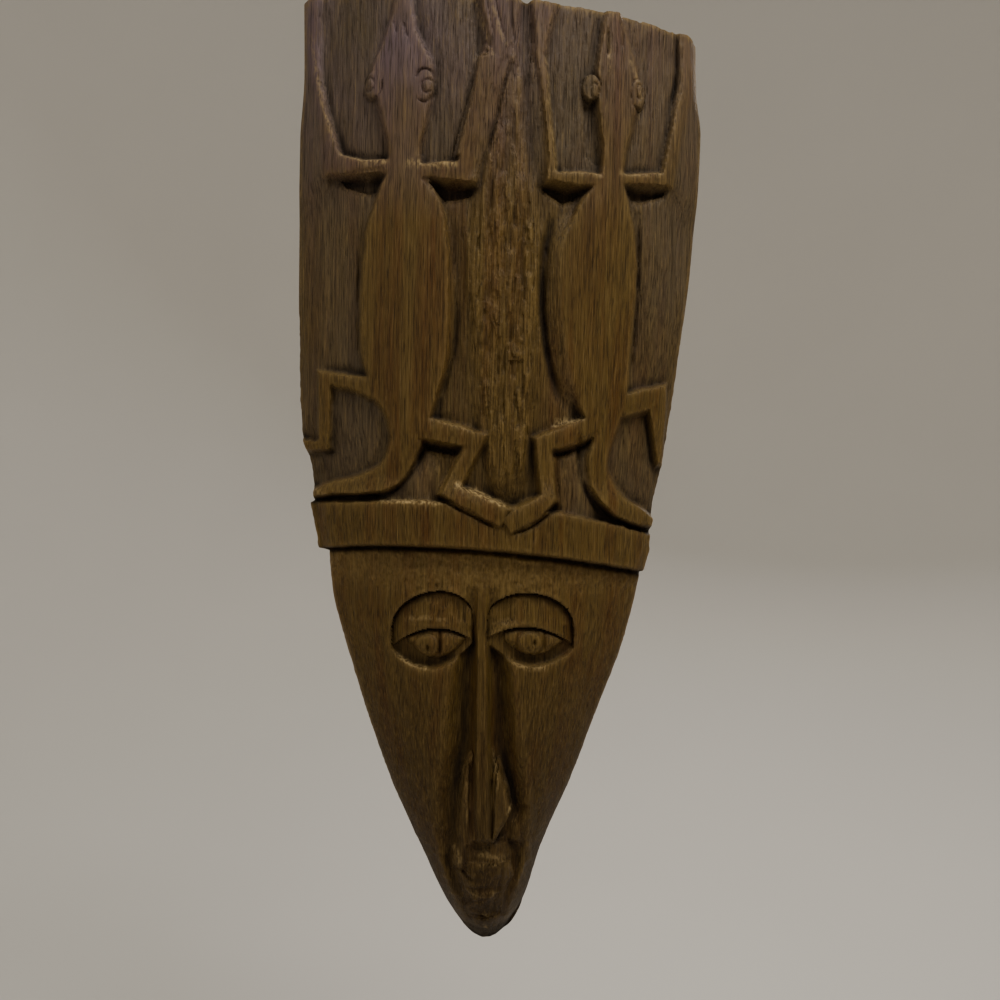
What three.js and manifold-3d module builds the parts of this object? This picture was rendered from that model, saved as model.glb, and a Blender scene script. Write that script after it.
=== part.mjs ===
// Carved wooden wall mask: a tall pointed face under a headband, with two lizards climbing above it.
// Millimetres. X runs across as seen from the front, Z is up and the flat back lies on the plane Y = 0,
// so the front faces -Y. The origin is on the flat of the back above the hollow, where it meets the wall.
import * as THREE from "three";
import { mergeVertices } from "three/addons/utils/BufferGeometryUtils.js";
import Module from "manifold-3d";

// Overall sizes
const maskHeight = 516; // to the higher, left end of the top edge
const maskWidth = 222;
const topDrop = 14; // the right half of the top edge below its left end
const sideThickness = 19; // from the wall to the front edge along the sides
const crownDepth = 38; // how far the middle of the front stands forward of the sides
const chinCrownDepth = 6; // the same at the very tip
const crownFullness = 2.2; // higher is flatter in the middle and steeper towards the sides

// Carving depths
const groundDepth = 7; // the ground round the lizards, below their backs
const ridgeDepth = 2.5; // the rough middle ridge between the lizards, below their backs
const pocketDepth = 4; // knife cuts under the arms and thighs, below the ground
const bandProud = 1.5; // the headband above the lizards' backs
const feetProud = 2.6; // feet and tail ends where they lie over the headband
const faceSetback = 5; // the face below the lizards' backs
const valleyDepth = 9; // the hollows beside the nose, below the face
const noseTipRise = 4; // the end of the nose above the face
const lipRise = 5; // the lips above the valleys
const socketDepth = 6; // the eye sockets under the brows, below the face
const lidSetback = 1.2; // the edge of the upper lid, below the face
const eyeSetback = 2.6; // the eyeball at its fullest, below the face
const lidUndercut = 4.4; // the cuts above and below the eyeball, below the face
const eyeBossRise = 1.6; // the lizards' ring eyes above their heads
const eyeRingDepth = 1.4; // the cut ring in each of them
const eyeRingWidth = 1.4;
const eyeBossRadius = 5.4;

// Hollow in the back
const wallThickness = 13; // wood left between the hollow and the deepest cut of the front
const hollowEdgeDepth = 7; // depth of the hollow along its rim
const hollowWidth = 0.78; // the hollow's width as a share of the mask's
const hollowTopMargin = 32; // flat wood above the hollow, which meets the wall
const hollowChinMargin = 46; // solid wood below it

// The carver's grid: every figure is drawn on squares counted from the tip upwards and from the middle.
const gridSquaresUp = 516;
const gridSquaresAcross = 222;
const squareUp = maskHeight / gridSquaresUp;
const squareAcross = maskWidth / gridSquaresAcross;
const mountHeight = maskHeight - topDrop - hollowTopMargin / 2;

// Steps of the facets
const frontColumns = 22;
const upperRows = 19;
const bandRows = 2;
const hollowRows = 14;
const hollowColumns = 10;
const overlap = 5; // how far the upper part and the face run in behind the headband
const farFront = 120; // beyond everything in front
const embed = 0.6; // how far an inset piece reaches into the wood round it

const wasm = await Module();
wasm.setup();

// Number helpers

/** A smooth curve through [place, value] rows, flat beyond both ends and without overshoot. */
function curveThrough(rows) {
  const slope = rows.slice(1).map(([at, value], i) => (value - rows[i][1]) / (at - rows[i][0]));
  const tangent = rows.map((row, i) => {
    if (i === 0 || i === rows.length - 1) {
      return slope[Math.min(i, slope.length - 1)];
    }
    const product = slope[i - 1] * slope[i];
    return product > 0 ? (2 * product) / (slope[i - 1] + slope[i]) : 0;
  });
  return (place) => {
    const last = rows.length - 1;
    if (place <= rows[0][0]) return rows[0][1];
    if (place >= rows[last][0]) return rows[last][1];
    const i = rows.findIndex(([at]) => at > place) - 1;
    const span = rows[i + 1][0] - rows[i][0];
    const t = (place - rows[i][0]) / span;
    const rise = rows[i + 1][1] - rows[i][1];
    const ease = t * t * (3 - 2 * t);
    const bend = t * (1 - t) * ((1 - t) * tangent[i] - t * tangent[i + 1]) * span;
    return rows[i][1] + rise * ease + bend;
  };
}

const mix = (a, b, t) => a + (b - a) * t;
const stepsOf = (count) => Array.from({ length: count + 1 }, (_, i) => i / count);
const smoothstep = (from, to, x) => THREE.MathUtils.smoothstep(x, from, to);

// Outline: left and right edges, in grid squares from the middle, by height above the tip
const faceTop = 225; // where the narrow face gives way to the wider upper part, behind the headband
const faceLeft = curveThrough([
  [0, -4], [3, -8], [8, -12], [14, -16.4], [24, -22], [42, -31.3], [59, -40],
  [87, -52.8], [122, -66], [158, -77.6], [191, -87], [220, -90],
]);
const faceRight = curveThrough([
  [0, 5], [3, 10], [8, 14], [14, 17.6], [24, 21.5], [42, 27.5], [59, 34],
  [87, 46.2], [122, 58.9], [158, 72.2], [191, 81], [220, 86],
]);
const upperLeft = curveThrough([
  [210, -95], [238, -97.5], [260, -100], [274, -104.8], [300, -107.2], [370, -109],
  [440, -109.4], [475, -107.6], [516, -108.4],
]);
const upperRight = curveThrough([
  [210, 87], [238, 89.2], [262, 94], [300, 99.8], [335, 104], [370, 108], [425, 112],
  [450, 112.6], [475, 109.4], [516, 108.3],
]);

// The headband's edges are highest left of the middle and fall away to both sides, more to the right.
const bowedEdge = (highest, peakAcross, fall) => (across) =>
  highest - fall * (across - peakAcross) ** 2;
const bandTop = bowedEdge(240.8, -28, 0.00118);
const bandBottom = bowedEdge(216.6, -42, 0.00083);
const bandLeft = (up) => mix(-94.4, -99.8, (up - 212) / 26);
const bandRight = curveThrough([[203, 84.4], [215, 87.4], [240, 89.4]]);

// The top edge is sawn level over the right half and rises to the left.
const topEdge = (across) =>
  gridSquaresUp - (topDrop / squareUp) * smoothstep(-118, 22, across);
const topAcross = (t) => mix(upperLeft(gridSquaresUp), upperRight(gridSquaresUp), t);

// Depth of the smooth front, before any carving
const crown = curveThrough([
  [0, chinCrownDepth], [14, mix(chinCrownDepth, crownDepth, 0.4)],
  [40, mix(chinCrownDepth, crownDepth, 0.68)], [200, mix(chinCrownDepth, crownDepth, 0.94)],
  [gridSquaresUp, crownDepth],
]);
const edgeLeft = (up) => (up < faceTop ? faceLeft(up) - 3 : upperLeft(up));
const edgeRight = (up) => (up < faceTop ? faceRight(up) + 2 : upperRight(up));
const heights = stepsOf(20).map((t) => t * gridSquaresUp);
const rimLeft = curveThrough(heights.map((up) => [up, edgeLeft(up)]));
const rimRight = curveThrough(heights.map((up) => [up, edgeRight(up)]));

function skin(across, up) {
  const left = rimLeft(up);
  const right = rimRight(up);
  const fromMiddle = Math.min(1, Math.abs(across - (left + right) / 2) / ((right - left) / 2));
  return sideThickness + crown(up) * (1 - fromMiddle ** crownFullness);
}

// Between the lizards the ground rises to a rough ridge, which fades out at its ends and sides.
const ridgeMiddle = (up) => mix(7, 1, (up - 240) / 200);
const ridgeHalfWidth = curveThrough([[245, 8], [300, 17], [360, 22], [420, 13], [500, 9]]);
function ridge(across, up) {
  const away = Math.abs(across - ridgeMiddle(up)) / ridgeHalfWidth(up);
  return (1 - smoothstep(0.55, 1.25, away)) * smoothstep(238, 262, up);
}
const groundLevel = (across, up) =>
  skin(across, up) - mix(groundDepth, ridgeDepth, ridge(across, up));
const figureLevel = (across, up) =>
  skin(across, up) + feetProud * (1 - smoothstep(238, 256, up));
const pocketLevel = (across, up) => skin(across, up) - groundDepth - pocketDepth;

// Face: the nose, the valleys beside it and the lips, by distance from the nose's own line
const noseLine = curveThrough([[0, 0.5], [58, -2.4], [85, -3.8], [190, -5.9], [230, -6.4]]);
const ridgeHalf = 2.6;
const noseHalf = curveThrough([
  [0, 4], [22, 9], [34, 13], [46, 16.5], [57, 15], [61, 11.5], [70, 13.6], [84, 13.4],
  [105, 8.4], [125, 5.4], [168, 3.6], [196, 3.2], [230, 3.2],
]);
const cheekBrink = curveThrough([
  [0, 7], [22, 15], [46, 23], [62, 24], [84, 22], [105, 17], [168, 12], [196, 8], [230, 8],
]);
const valley = curveThrough([
  [0, 0], [20, 0.1], [40, 0.5], [60, 0.75], [84, 0.95], [120, 1], [164, 0.85], [184, 0.3], [196, 0],
]);
const noseRise = curveThrough([[62, 0.95], [68, 1], [84, 0.9], [120, 0.3], [165, 0], [230, 0]]);
const noseBaseUp = 60;
const lips = curveThrough([
  [12, 0.1], [26, 0.2], [30, 0.35], [35, 0.8], [41, 0.95], [44.6, 0.85], [46.2, 0.3], [47.8, 0.85],
  [52, 1], [58, 0.85],
]);

function faceRelief(distance, up) {
  const floor = -valleyDepth * valley(up);
  const foot = noseHalf(up);
  if (distance < foot) {
    const t = Math.max(0, distance - ridgeHalf) / Math.max(0.1, foot - ridgeHalf);
    const top = up > noseBaseUp ? noseTipRise * noseRise(up) : floor + lipRise * lips(up);
    return mix(top, floor, up > noseBaseUp ? t : t ** 3);
  }
  const rise = (distance - foot - ridgeHalf) / Math.max(1, cheekBrink(up) - foot - ridgeHalf);
  return mix(floor, 0, THREE.MathUtils.clamp(rise, 0, 1));
}
const faceLevel = (across, up) =>
  skin(across, up) - faceSetback + faceRelief(Math.abs(across - noseLine(up)), up);
const faceWithoutNose = (across, up) => skin(across, up) - faceSetback;

// Solid helpers

/** A closed solid between two grids of [across, up, depth] points, front and back. */
function solidBetween(front, back) {
  const rows = front.length;
  const columns = front[0].length;
  const corners = [...front.flat(), ...back.flat()];
  const positions = corners.flatMap(([x, up, depth]) => [
    x * squareAcross, -depth, up * squareUp - mountHeight,
  ]);
  const at = (layer, r, c) => layer * rows * columns + r * columns + c;
  const index = [];
  const quad = (a, b, c, d) => index.push(a, b, c, a, c, d);
  for (let r = 0; r < rows - 1; r += 1) {
    for (let c = 0; c < columns - 1; c += 1) {
      quad(at(0, r, c), at(0, r, c + 1), at(0, r + 1, c + 1), at(0, r + 1, c));
      quad(at(1, r, c), at(1, r + 1, c), at(1, r + 1, c + 1), at(1, r, c + 1));
    }
    quad(at(0, r, 0), at(0, r + 1, 0), at(1, r + 1, 0), at(1, r, 0));
    const end = columns - 1;
    quad(at(0, r, end), at(1, r, end), at(1, r + 1, end), at(0, r + 1, end));
  }
  for (let c = 0; c < columns - 1; c += 1) {
    quad(at(0, 0, c), at(1, 0, c), at(1, 0, c + 1), at(0, 0, c + 1));
    const top = rows - 1;
    quad(at(0, top, c), at(0, top, c + 1), at(1, top, c + 1), at(1, top, c));
  }
  const geometry = new THREE.BufferGeometry();
  geometry.setAttribute("position", new THREE.Float32BufferAttribute(positions, 3));
  geometry.setIndex(index);
  return toSolid(geometry);
}

function toSolid(geometry) {
  const bare = geometry.clone();
  bare.deleteAttribute("normal");
  bare.deleteAttribute("uv");
  const merged = mergeVertices(bare, 1e-4);
  return new wasm.Manifold(
    new wasm.Mesh({
      numProp: 3,
      vertProperties: new Float32Array(merged.attributes.position.array),
      triVerts: new Uint32Array(merged.index.array),
    }),
  );
}

/** A board between the wall and a front level, over rows that run from one edge to the other. */
function board(rowsOf, columnsAt, level) {
  const front = rowsOf.map((row) =>
    columnsAt.map((t) => {
      const [across, up] = row(t);
      return [across, up, level(across, up)];
    }),
  );
  const back = front.map((row) => row.map(([across, up]) => [across, up, 0]));
  return solidBetween(front, back);
}

/** A flat outline of [across, up] points, run from one depth forward to another. */
function prism(points, from = 8, to = farFront) {
  const shape = new THREE.Shape(
    points.map(([x, up]) => new THREE.Vector2(x * squareAcross, up * squareUp)),
  );
  const geometry = new THREE.ExtrudeGeometry(shape, { depth: to - from, bevelEnabled: false });
  geometry.rotateX(Math.PI / 2);
  geometry.translate(0, -from, -mountHeight);
  return toSolid(geometry);
}

/** A body with a smooth spine: rows of [across, up, half width] from one end to the other. */
function spindle(rows, steps) {
  const spine = new THREE.CatmullRomCurve3(rows.map((row) => new THREE.Vector3(...row)), false);
  const marks = spine.getSpacedPoints(steps);
  return strip(marks.map((p) => [p.x, p.y, p.z]));
}

/** A strip of changing width along a line, with mitred corners. */
function strip(rows) {
  const points = rows.map(([x, up]) => new THREE.Vector2(x, up));
  const left = [];
  const right = [];
  rows.forEach(([, , half], i) => {
    const before = points[Math.max(0, i - 1)];
    const after = points[Math.min(points.length - 1, i + 1)];
    const inward = points[i].clone().sub(before);
    const outward = after.clone().sub(points[i]);
    const first = (inward.length() > 0 ? inward : outward).clone().normalize();
    const second = (outward.length() > 0 ? outward : inward).clone().normalize();
    const along = first.clone().add(second).normalize();
    const side = new THREE.Vector2(-along.y, along.x);
    const reach = half / Math.max(0.6, along.dot(first));
    left.push([points[i].x + side.x * reach, points[i].y + side.y * reach]);
    right.push([points[i].x - side.x * reach, points[i].y - side.y * reach]);
  });
  return [...left, ...right.reverse()];
}

const unionOf = (solids) => solids.reduce((sum, solid) => sum.add(solid));

// Lizards: [across, up, half width] along each part, in grid squares
const leftLizard = {
  body: [
    [-52, 514, 2], [-53.4, 486, 9], [-52.8, 467, 16.8], [-50.6, 446, 13.2], [-50.8, 422, 9],
    [-49.6, 406, 14.5], [-48.8, 384, 21.6], [-48.8, 350, 24.4], [-48.4, 318, 23.6],
    [-47.4, 292, 16.5], [-47.6, 270, 9.4], [-55, 254.5, 7.6], [-70, 249, 5.6], [-88, 246.6, 4],
    [-102, 242.4, 2],
  ],
  limbs: [
    [
      [-50, 416, 5], [-72, 417.5, 4.4], [-90.5, 421, 6], [-95.6, 448, 3.6], [-101, 470, 3.4],
      [-103.2, 500, 5], [-103.4, 520, 4.6],
    ],
    [
      [-50, 412, 5], [-36, 413, 4.6], [-17.4, 411.8, 6.4], [-9, 449, 6.8], [-5.4, 470, 7],
      [-5.2, 482, 8],
    ],
    [[-9.4, 474, 3.4], [-15.4, 510, 4]],
    [[-1.4, 474, 3.6], [4, 510, 3.8]],
    [
      [-60, 299, 7], [-76, 302.4, 5.2], [-92.6, 305.4, 4.6], [-92.2, 270.6, 4.2],
      [-98, 269.8, 3.2], [-105.6, 271.2, 3],
    ],
    [
      [-50, 281, 8], [-34, 278, 6.4], [-10.4, 272.6, 5.2], [-22.6, 247.4, 4.8], [-10, 241, 4],
      [9.4, 232.6, 5.2],
    ],
  ],
  eyes: [[-68.2, 460.4], [-39.2, 458.4]],
};
const rightLizard = {
  body: [
    [58.6, 508, 2.6], [60.2, 488, 8], [61.8, 468, 12.6], [61.6, 450, 11], [60.4, 428, 7],
    [59.4, 412, 8], [56.8, 396, 15.4], [54.6, 374, 20.6], [54, 348, 21], [54.8, 322, 18.2],
    [57, 298, 15], [57.4, 276, 7.4], [55, 262, 6.2], [58.8, 250, 6.6], [68.6, 239.6, 6.2],
    [80, 234.6, 5.4], [91, 230.6, 3],
  ],
  limbs: [
    [
      [58, 412, 4.4], [42, 411.4, 4.2], [26.2, 411.2, 3.8], [22.4, 447, 2.4], [19.2, 474, 3.2],
      [18.8, 486, 5],
    ],
    [[16.6, 480, 2.8], [11.4, 504, 3.4]],
    [[21.4, 480, 2.8], [27.8, 504, 3.6]],
    [
      [60, 413, 4.4], [74, 415.4, 3.4], [92, 418.6, 4.4], [97.6, 447, 4.8], [103, 468, 4.8],
      [104.6, 490, 5], [103, 504, 4],
    ],
    [[58, 291, 8], [72, 295, 6.6], [90.6, 300.4, 6.4], [93.2, 262.6, 2.6]],
    [
      [58, 284, 7], [46, 279, 6.8], [25.6, 271.6, 5.4], [28.2, 243.6, 4.2], [18.6, 234.4, 4.8],
      [3.4, 226.6, 4.4],
    ],
  ],
  eyes: [[47.4, 460.2], [73, 461.6]],
};

function lizardFigure({ body, limbs }) {
  return unionOf([prism(spindle(body, 34)), ...limbs.map((limb) => prism(strip(limb)))]);
}

function circle([x, up], radius, sides = 12) {
  return Array.from({ length: sides }, (_, i) => {
    const angle = (2 * Math.PI * i) / sides;
    return [x + (radius * Math.cos(angle)) / squareAcross, up + (radius * Math.sin(angle)) / squareUp];
  });
}

const wholeFrontRows = ({ from, above, grow }, count) =>
  stepsOf(count).map((s) => (t) => {
    const up = mix(from, topEdge(topAcross(t)) + above, s);
    return [mix(upperLeft(up) - grow, upperRight(up) + grow, t), up];
  });

/** The part of a figure that stands behind a level, as a raised piece. */
function raised(figure, level) {
  const rows = wholeFrontRows({ from: 212, above: 0, grow: -0.4 }, upperRows + 3);
  return board(rows, stepsOf(frontColumns), level).intersect(figure);
}

/** The space in front of a level, inside a figure, as a cutter. */
function cutter(figure, level) {
  const rows = wholeFrontRows({ from: 205, above: 10, grow: 6 }, upperRows + 3);
  const front = rows.map((row) => stepsOf(frontColumns).map((t) => [...row(t), farFront - embed]));
  const back = rows.map((row) =>
    stepsOf(frontColumns).map((t) => {
      const [across, up] = row(t);
      return [across, up, level(across, up)];
    }),
  );
  return solidBetween(front, back).intersect(figure);
}

// Parts of the front

function upperBoard() {
  const rows = stepsOf(upperRows).map((s) => (t) => {
    const low = bandTop(mix(upperLeft(faceTop), upperRight(faceTop), t)) - overlap;
    const up = mix(low, topEdge(topAcross(t)), s);
    return [mix(upperLeft(up), upperRight(up), t), up];
  });
  return board(rows, stepsOf(frontColumns), groundLevel);
}

function headband() {
  const rows = stepsOf(bandRows).map((s) => (t) => {
    const guess = mix(bandLeft(225), bandRight(215), t);
    const up = mix(bandBottom(guess), bandTop(guess), s);
    return [mix(bandLeft(up), bandRight(up), t), up];
  });
  return board(rows, stepsOf(frontColumns), (across, up) => skin(across, up) + bandProud);
}

const faceHeights = [
  0, 3, 8, 14, 20, 26, 31, 36, 41, 44.4, 46.2, 48, 52, 57, 59.8, 61.4, 66, 74, 84, 95, 105, 116,
  128, 142, 155, 165, 174, 182, 190, 198, 207,
];

function face() {
  const outer = [0.22, 0.44, 0.66, 0.84, 1];
  const columnsOn = (side, up) => {
    const middle = noseLine(up);
    const edge = side < 0 ? faceLeft(up) : faceRight(up);
    const reach = Math.abs(edge - middle);
    const near = [ridgeHalf, noseHalf(up), noseHalf(up) + ridgeHalf, cheekBrink(up)];
    const fits = near.map((d, i) => Math.min(d, reach * (0.2 + 0.14 * i)));
    const brink = fits[3];
    const all = [...fits, ...outer.map((t) => mix(brink, reach, t))];
    return all.map((distance) => middle + side * distance);
  };
  const rowAt = (up) => [...columnsOn(-1, up).reverse(), noseLine(up), ...columnsOn(1, up)];
  const front = faceHeights.map((up) => rowAt(up).map((x) => [x, up, faceLevel(x, up)]));
  const browRow = rowAt(215).map((x) => {
    const up = bandBottom(x) + overlap;
    return [x, up, faceLevel(x, up)];
  });
  const tucked = front.map((row, i) => {
    if (faceHeights[i] < 200) return row;
    return row.map(([x, up, depth]) => [x, Math.min(up, bandBottom(x) - 0.5), depth]);
  });
  const rows = [...tucked, browRow];
  const back = rows.map((row) => row.map(([across, up]) => [across, up, 0]));
  return solidBetween(rows, back);
}

// Eyes: each is an arched socket with a full upper lid over an almond eyeball, from its outer corner
// to its inner one, which opens into the valley beside the nose.
const eyeShapes = [
  {
    outer: -52.4, inner: -11.6, corner: 163, arch: 192.6, archEnd: 181, lid: 174.7, lidEnd: 169.6,
    low: 151.5,
  },
  {
    outer: 43.4, inner: -1.4, corner: 165.4, arch: 192.7, archEnd: 180, lid: 175.3, lidEnd: 168.4,
    low: 152.9,
  },
];
const archAboveCorner = 12;

/** A line from one end to the other that bows through a middle height; a low power makes it fuller. */
function bowedLine(start, end, middle, power) {
  const bow = middle - (start + end) / 2;
  return (t) => mix(start, end, t) + bow * Math.sin(Math.PI * t) ** power;
}

const eyeLines = (eye) => ({
  across: (t) => mix(eye.outer, eye.inner, t),
  arch: bowedLine(eye.corner + archAboveCorner, eye.archEnd, eye.arch, 0.55),
  lid: bowedLine(eye.corner, eye.lidEnd, eye.lid, 0.9),
  lower: bowedLine(eye.corner - 1, eye.lidEnd - 3, eye.low, 0.8),
});

function eyeOutline(eye) {
  const lines = eyeLines(eye);
  const steps = stepsOf(12);
  const archPoints = steps.map((t) => [lines.across(t), lines.arch(t)]);
  const lowerPoints = steps.map((t) => [lines.across(t), lines.lower(t)]).reverse();
  return [...archPoints, ...lowerPoints];
}

function eyeInset(eye) {
  const lines = eyeLines(eye);
  const low = (t) => mix(lines.lower(t), lines.lid(t), 0.26);
  const rows = [
    [(t) => lines.lower(t) - embed, 0.4],
    [low, lidUndercut],
    [(t) => mix(low(t), lines.lid(t), 0.45), eyeSetback],
    [(t) => lines.lid(t) - 0.7, lidUndercut],
    [lines.lid, lidSetback],
    [(t) => mix(lines.lid(t), lines.arch(t), 0.45), mix(lidSetback, socketDepth, 0.4)],
    [(t) => mix(lines.lid(t), lines.arch(t), 0.8), mix(lidSetback, socketDepth, 0.85)],
    [(t) => lines.arch(t) + embed, socketDepth],
  ];
  const columns = [-0.03, ...stepsOf(12), 1.03];
  const front = rows.map(([line, setback]) =>
    columns.map((t) => {
      const inside = THREE.MathUtils.clamp(t, 0, 1);
      const corner = Math.sin(Math.PI * inside) ** 0.5;
      const across = mix(eye.outer, eye.inner, t);
      const up = line(inside);
      const deep = mix(Math.max(setback, lidUndercut), setback, corner);
      return [across, up, faceWithoutNose(across, up) - deep];
    }),
  );
  const facingFront = eye.outer < eye.inner ? front : front.map((row) => [...row].reverse());
  const back = facingFront.map((row) => row.map(([x, up]) => [x, up, socketFloor(eye) - embed]));
  return solidBetween(facingFront, back);
}

const socketFloor = (eye) =>
  Math.min(
    faceWithoutNose(eye.outer, eye.corner + archAboveCorner),
    faceWithoutNose(eye.inner, eye.archEnd),
  ) - socketDepth - 1;

// Knife cuts under the arms and the thigh
const pockets = [
  [[-87.4, 413], [-62, 413.6], [-64.5, 406], [-68, 402.5]],
  [[-38.5, 408.4], [-12.6, 405.4], [-16, 400.4], [-29.4, 397.6]],
  [[20.6, 405.6], [26, 408.2], [44, 407.6], [41, 401.4], [33.6, 398.4]],
  [[67.4, 411.4], [92.4, 414.6], [88, 409.4], [76, 403.4], [70.6, 404]],
  [[-38, 271.8], [-16.6, 267.6], [-19, 263.6], [-36, 266.6]],
];

// Hollow in the back, which follows the front at an even wall
function hollow() {
  const from = (hollowChinMargin / maskHeight) * gridSquaresUp;
  const to = (mountHeight - hollowTopMargin / 2) / squareUp;
  const deepestCut = Math.max(groundDepth + pocketDepth, faceSetback + valleyDepth);
  const level = (across, up) =>
    Math.max(hollowEdgeDepth, skin(across, up) - deepestCut - wallThickness);
  // It narrows to blunt round ends and runs out shallower towards them.
  const narrowing = (s) => Math.sin(Math.PI * THREE.MathUtils.clamp(s, 0.04, 0.96)) ** 0.2;
  const easing = (s) => Math.min(1, 0.45 + Math.sin(Math.PI * s) * 1.6);
  const rows = stepsOf(hollowRows).map((s) => {
    const up = mix(from, to, s);
    const left = up < faceTop ? faceLeft(up) : upperLeft(up);
    const right = up < faceTop ? faceRight(up) : upperRight(up);
    const middle = (left + right) / 2;
    const half = ((right - left) / 2) * hollowWidth * narrowing(s);
    return stepsOf(hollowColumns).map((t) => [mix(middle - half, middle + half, t), up]);
  });
  const front = rows.map((row, i) =>
    row.map(([x, up]) => [x, up, Math.max(hollowEdgeDepth, level(x, up) * easing(i / hollowRows))]),
  );
  const back = rows.map((row) => row.map(([x, up]) => [x, up, -1]));
  return solidBetween(front, back);
}

// The whole mask
function carve() {
  let wood = unionOf([upperBoard(), headband(), face()]);
  for (const eye of eyeShapes) {
    wood = wood.subtract(prism(eyeOutline(eye), socketFloor(eye))).add(eyeInset(eye));
  }
  for (const lizard of [leftLizard, rightLizard]) {
    wood = wood.add(raised(lizardFigure(lizard), figureLevel));
    for (const eye of lizard.eyes) {
      const boss = prism(circle(eye, eyeBossRadius));
      const ring = prism(circle(eye, eyeBossRadius * 0.72));
      const core = prism(circle(eye, eyeBossRadius * 0.72 - eyeRingWidth, 8));
      const bossLevel = (across, up) => skin(across, up) + eyeBossRise;
      wood = wood.add(raised(boss, bossLevel));
      const ringLevel = (across, up) => bossLevel(across, up) - eyeRingDepth;
      wood = wood.subtract(cutter(ring.subtract(core), ringLevel));
    }
  }
  for (const pocket of pockets) {
    wood = wood.subtract(cutter(prism(pocket), pocketLevel));
  }
  return wood.subtract(hollow());
}

function geometryOf(solid) {
  const mesh = solid.getMesh();
  const geometry = new THREE.BufferGeometry();
  geometry.setAttribute("position", new THREE.BufferAttribute(mesh.vertProperties, 3));
  geometry.setIndex(new THREE.BufferAttribute(mesh.triVerts, 1));
  geometry.computeVertexNormals();
  return geometry;
}

const carvedWood = new THREE.MeshStandardMaterial({
  color: 0x6b4f2c,
  roughness: 0.62,
  metalness: 0,
  flatShading: true,
});

const wallMask = new THREE.Group();
const mask = new THREE.Mesh(geometryOf(carve()), carvedWood);
mask.name = "mask";
wallMask.add(mask);

export default wallMask;
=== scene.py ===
"""A tall carved wooden wall mask: a long face under a headband, with two climbing lizards above it.

Carving sizes are millimetres: across is counted to the right from the middle, up from the tip, and depth
forward from the wall. Blender's own sizes are metres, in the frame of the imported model.
"""
import math

import bpy
import numpy as np
from bpy.props import FloatProperty, FloatVectorProperty, IntProperty, PointerProperty
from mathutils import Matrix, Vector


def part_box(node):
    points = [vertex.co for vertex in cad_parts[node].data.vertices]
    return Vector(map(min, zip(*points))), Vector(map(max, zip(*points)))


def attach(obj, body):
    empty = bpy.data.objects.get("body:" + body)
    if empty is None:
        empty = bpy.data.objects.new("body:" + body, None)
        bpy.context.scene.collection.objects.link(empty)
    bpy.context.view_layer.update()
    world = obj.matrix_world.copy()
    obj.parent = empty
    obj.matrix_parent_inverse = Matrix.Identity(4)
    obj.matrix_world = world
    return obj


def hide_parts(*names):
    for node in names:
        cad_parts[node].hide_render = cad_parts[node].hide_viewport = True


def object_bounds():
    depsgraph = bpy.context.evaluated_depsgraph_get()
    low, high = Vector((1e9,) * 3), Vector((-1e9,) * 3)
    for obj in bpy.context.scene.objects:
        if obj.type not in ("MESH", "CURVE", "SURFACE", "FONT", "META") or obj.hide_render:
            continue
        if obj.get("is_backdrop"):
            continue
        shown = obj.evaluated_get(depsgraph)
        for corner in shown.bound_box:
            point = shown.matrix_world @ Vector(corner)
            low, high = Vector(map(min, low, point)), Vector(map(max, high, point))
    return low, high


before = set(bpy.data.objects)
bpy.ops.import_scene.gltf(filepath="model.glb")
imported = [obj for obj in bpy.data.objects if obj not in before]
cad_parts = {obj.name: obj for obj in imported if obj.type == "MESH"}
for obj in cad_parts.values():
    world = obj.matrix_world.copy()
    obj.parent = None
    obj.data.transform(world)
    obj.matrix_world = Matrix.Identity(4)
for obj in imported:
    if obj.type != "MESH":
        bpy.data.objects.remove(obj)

bl_info = {
    "name": "Carved Wall Mask",
    "version": (1, 0, 0),
    "blender": (4, 5, 0),
    "location": "3D View > Sidebar > Wall Mask",
    "description": "Carves a wooden wall mask with two lizards in relief, and sets it on a plain stage",
    "category": "Object",
}

CAD_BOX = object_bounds()
MASK_LOW, MASK_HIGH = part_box("mask")
MM = 0.001
TIP_Z = MASK_LOW.z
HEIGHT = 516.0
WIDTH = 222.0
TOP_DROP = 14.0


# Colours and node helper

def linear(code):
    """An sRGB hex colour as linear red, green, blue and alpha."""
    shares = [int(code[i : i + 2], 16) / 255 for i in (0, 2, 4)]
    return tuple(c / 12.92 if c <= 0.04045 else ((c + 0.055) / 1.055) ** 2.4 for c in shares) + (1.0,)


def node(tree, kind, links=None, **settings):
    """Adds a node; settings name its properties or inputs, and links name its inputs' sources."""
    made = tree.nodes.new(kind)
    for name, value in settings.items():
        if hasattr(made, name):
            setattr(made, name, value)
        else:
            made.inputs[name.replace("_", " ")].default_value = value
    for name, source in (links or {}).items():
        tree.links.new(source, made.inputs[name])
    return made


# Number helpers

def mix(a, b, t):
    return a + (b - a) * t


def smooth(start, end, x):
    t = np.clip((x - start) / (end - start), 0, 1)
    return t * t * (3 - 2 * t)


def curve_through(*rows):
    """A smooth curve through (place, value) rows, flat beyond both ends and without overshoot."""
    at, value = np.array(rows, float).T
    slope = np.diff(value) / np.diff(at)
    tangent = np.concatenate((slope[:1], np.zeros(len(slope) - 1), slope[-1:]))
    product = slope[:-1] * slope[1:]
    total = slope[:-1] + slope[1:]
    rising = product > 0
    tangent[1:-1][rising] = 2 * product[rising] / total[rising]

    def curve(place):
        place = np.clip(place, at[0], at[-1])
        i = np.clip(np.searchsorted(at, place, side="right") - 1, 0, len(slope) - 1)
        span = at[i + 1] - at[i]
        t = (place - at[i]) / span
        bend = t * (1 - t) * ((1 - t) * tangent[i] - t * tangent[i + 1]) * span
        return value[i] + (value[i + 1] - value[i]) * t * t * (3 - 2 * t) + bend

    return curve


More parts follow.
